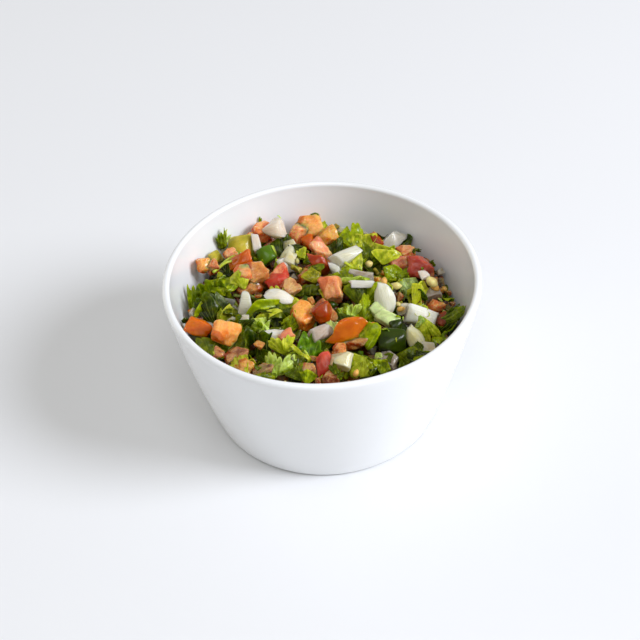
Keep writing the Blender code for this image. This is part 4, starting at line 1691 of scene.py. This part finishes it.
class PICO_OT_core(bpy.types.Operator):
    """Make the smaller core under the loose pieces"""

    bl_idname = "pico.core"
    bl_label = "Core"
    INSET = 0.0003  # of the bowl's inside
    BELOW = 0.002  # the side ends that far under the core's level, clear of its lumps

    def execute(self, context):
        steps, rings = 144, 60
        around = np.arange(steps) * FULL_TURN / steps
        lowest = settings().heap.edge_level - settings().heap.core_depth - self.BELOW
        side = inner_profile(self.INSET, lowest, 6, 6)
        reach = inner_radius(lowest) - self.INSET * 1.2
        points = [(0.0, 0.0, side[0][1])]
        for r, z in side[1:]:
            points += [(r * math.cos(a), r * math.sin(a), z) for a in around]
        for n in range(rings):
            r = reach * (1 - n / rings)
            x, y = r * np.cos(around), r * np.sin(around)
            points += list(zip(x, y, core_level(x, y)))
        points.append((0.0, 0.0, float(core_level(np.zeros(1), np.zeros(1))[0])))
        loops = len(side) - 1 + rings
        faces = []
        for i in range(steps):
            j = (i + 1) % steps
            faces.append([0, 1 + j, 1 + i])
            for n in range(loops - 1):
                low, high = 1 + n * steps, 1 + (n + 1) * steps
                faces.append([low + i, low + j, high + j, high + i])
            faces.append([high + i, high + j, len(points) - 1])
        mesh = bpy.data.meshes.new("pico_core")
        mesh.from_pydata(points, [], faces)
        mesh.shade_smooth()
        mesh.materials.append(core_finish())
        finished(linked(mesh.name, mesh), "pico", "pico_heap")
        return {"FINISHED"}


class PICO_OT_tomato(bpy.types.Operator):
    """Set the tomato dice, caps and skins"""

    bl_idname = "pico.tomato"
    bl_label = "Tomato"

    def execute(self, context):
        return set_kind("tomato", "tomato_pieces", tomato_finish())


class PICO_OT_onion(bpy.types.Operator):
    """Set the onion dice and slices"""

    bl_idname = "pico.onion"
    bl_label = "Onion"

    def execute(self, context):
        return set_kind("onion", "onion_pieces", onion_finish())


class PICO_OT_chilli(bpy.types.Operator):
    """Set the green chilli pieces"""

    bl_idname = "pico.chilli"
    bl_label = "Chilli"

    def execute(self, context):
        return set_kind("chilli", "chilli_pieces", chilli_finish())


class PICO_OT_seeds(bpy.types.Operator):
    """Set the loose seeds"""

    bl_idname = "pico.seeds"
    bl_label = "Seeds"

    def execute(self, context):
        return set_kind("seed", "loose_seeds", seed_finish())


class PICO_OT_coriander(bpy.types.Operator):
    """Make the coriander leaves and stems"""

    bl_idname = "pico.coriander"
    bl_label = "Coriander"

    def execute(self, context):
        coriander, leaf = settings().coriander, leaf_finish()
        rows = laid().leaves.items()
        meshes = [(leaves_mesh(name, leaves, coriander.thickness), leaf) for name, leaves in rows]
        stems = stems_mesh("coriander_stems", laid().stems, coriander.stem)
        for mesh, material in (*meshes, (stems, stem_finish())):
            mesh.materials.append(material)
            finished(linked(mesh.name, mesh), "coriander")
        return {"FINISHED"}


class PICO_OT_stage(bpy.types.Operator):
    """Make the pale table, the soft light and the camera"""

    bl_idname = "pico.stage"
    bl_label = "Stage"
    TABLE_RADIUS, TABLE_DROP = 3.0, 0.0001  # the table lies just clear of the bowl's foot
    CEILING_SIZE, FAR_WALL_SIZE = 1.1, 1.6

    def execute(self, context):
        s, scene = settings().stage, context.scene
        self.table()
        for lamp in (
            ("window", s.window_azimuth, s.window_elevation, s.window_size, s.key, (0.885, 0.915, 1.0)),
            ("ceiling", -math.pi / 2, s.ceiling_elevation, self.CEILING_SIZE, s.ceiling,
             (0.97, 0.985, 1.0)),
            ("far_wall", s.bounce_azimuth, s.bounce_elevation, self.FAR_WALL_SIZE, s.bounce,
             (1.0, 0.955, 0.87)),
        ):
            self.light(*lamp)
        scene.world = bpy.data.worlds.new("room")
        scene.world.use_nodes = True
        sky = scene.world.node_tree.nodes["Background"]
        sky.inputs["Color"].default_value = (1.0, 0.992, 0.975, 1)
        sky.inputs["Strength"].default_value = s.fill
        scene.view_settings.view_transform = "Standard"
        lens = bpy.data.cameras.new("camera")
        lens.sensor_width = SENSOR_WIDTH
        lens.lens = PHOTO_FOCAL / PHOTO_SIDE * SENSOR_WIDTH
        lens.clip_start, lens.clip_end = 0.01, 20.0
        scene.camera = linked("camera", lens)
        scene.camera.matrix_world = VIEW.matrix()
        return {"FINISHED"}

    def table(self):
        form = bmesh.new()
        bmesh.ops.create_circle(form, cap_ends=True, segments=96, radius=self.TABLE_RADIUS)
        mesh = bpy.data.meshes.new("table")
        form.to_mesh(mesh)
        form.free()
        mesh.materials.append(table_finish())
        table = linked("table", mesh)
        table.location.z = -self.TABLE_DROP

    def light(self, name, azimuth, elevation, across, energy, tint):
        """A round soft light that faces the bowl's foot."""
        level = math.cos(elevation)
        way = Vector((level * math.cos(azimuth), level * math.sin(azimuth), math.sin(elevation)))
        lamp = bpy.data.lights.new(name, "AREA")
        lamp.shape = "DISK"
        lamp.size, lamp.energy, lamp.color = across, energy, tint
        light = linked(name, lamp)
        light.location = way * settings().stage.distance
        light.rotation_euler = way.to_track_quat("Z", "Y").to_euler()


OPERATORS = (
    PICO_OT_bowl, PICO_OT_lay, PICO_OT_core, PICO_OT_tomato, PICO_OT_onion,
    PICO_OT_chilli, PICO_OT_coriander, PICO_OT_seeds, PICO_OT_stage,
)


class PICO_PT_panel(bpy.types.Panel):
    """Buttons for each piece, in the order that builds the dish"""

    bl_idname = "PICO_PT_panel"
    bl_label = "Pico de gallo"
    bl_space_type = "VIEW_3D"
    bl_region_type = "UI"
    bl_category = "Pico"

    def draw(self, context):
        for operator in OPERATORS:
            self.layout.operator(operator.bl_idname)
        for group in PicoSettings.__annotations__:
            box = self.layout.box()
            box.label(text=group.capitalize())
            chosen = getattr(context.scene.pico, group)
            for name in type(chosen).__annotations__:
                box.prop(chosen, name)


class PicoSettings(bpy.types.PropertyGroup):
    bowl: PointerProperty(type=BowlSettings)
    heap: PointerProperty(type=HeapSettings)
    tomato: PointerProperty(type=TomatoSettings)
    onion: PointerProperty(type=OnionSettings)
    chilli: PointerProperty(type=ChilliSettings)
    coriander: PointerProperty(type=CorianderSettings)
    seeds: PointerProperty(type=SeedSettings)
    stage: PointerProperty(type=StageSettings)


CLASSES = (
    BowlSettings, HeapSettings, TomatoSettings, OnionSettings, ChilliSettings, CorianderSettings,
    SeedSettings, StageSettings, PicoSettings, *OPERATORS, PICO_PT_panel,
)


def register():
    for cls in CLASSES:
        bpy.utils.register_class(cls)
    bpy.types.Scene.pico = PointerProperty(type=PicoSettings)


def unregister():
    del bpy.types.Scene.pico
    for cls in reversed(CLASSES):
        bpy.utils.unregister_class(cls)


def main():
    register()
    for operator in OPERATORS:
        group, name = operator.bl_idname.split(".")
        getattr(getattr(bpy.ops, group), name)()


if __name__ == "__main__":
    main()
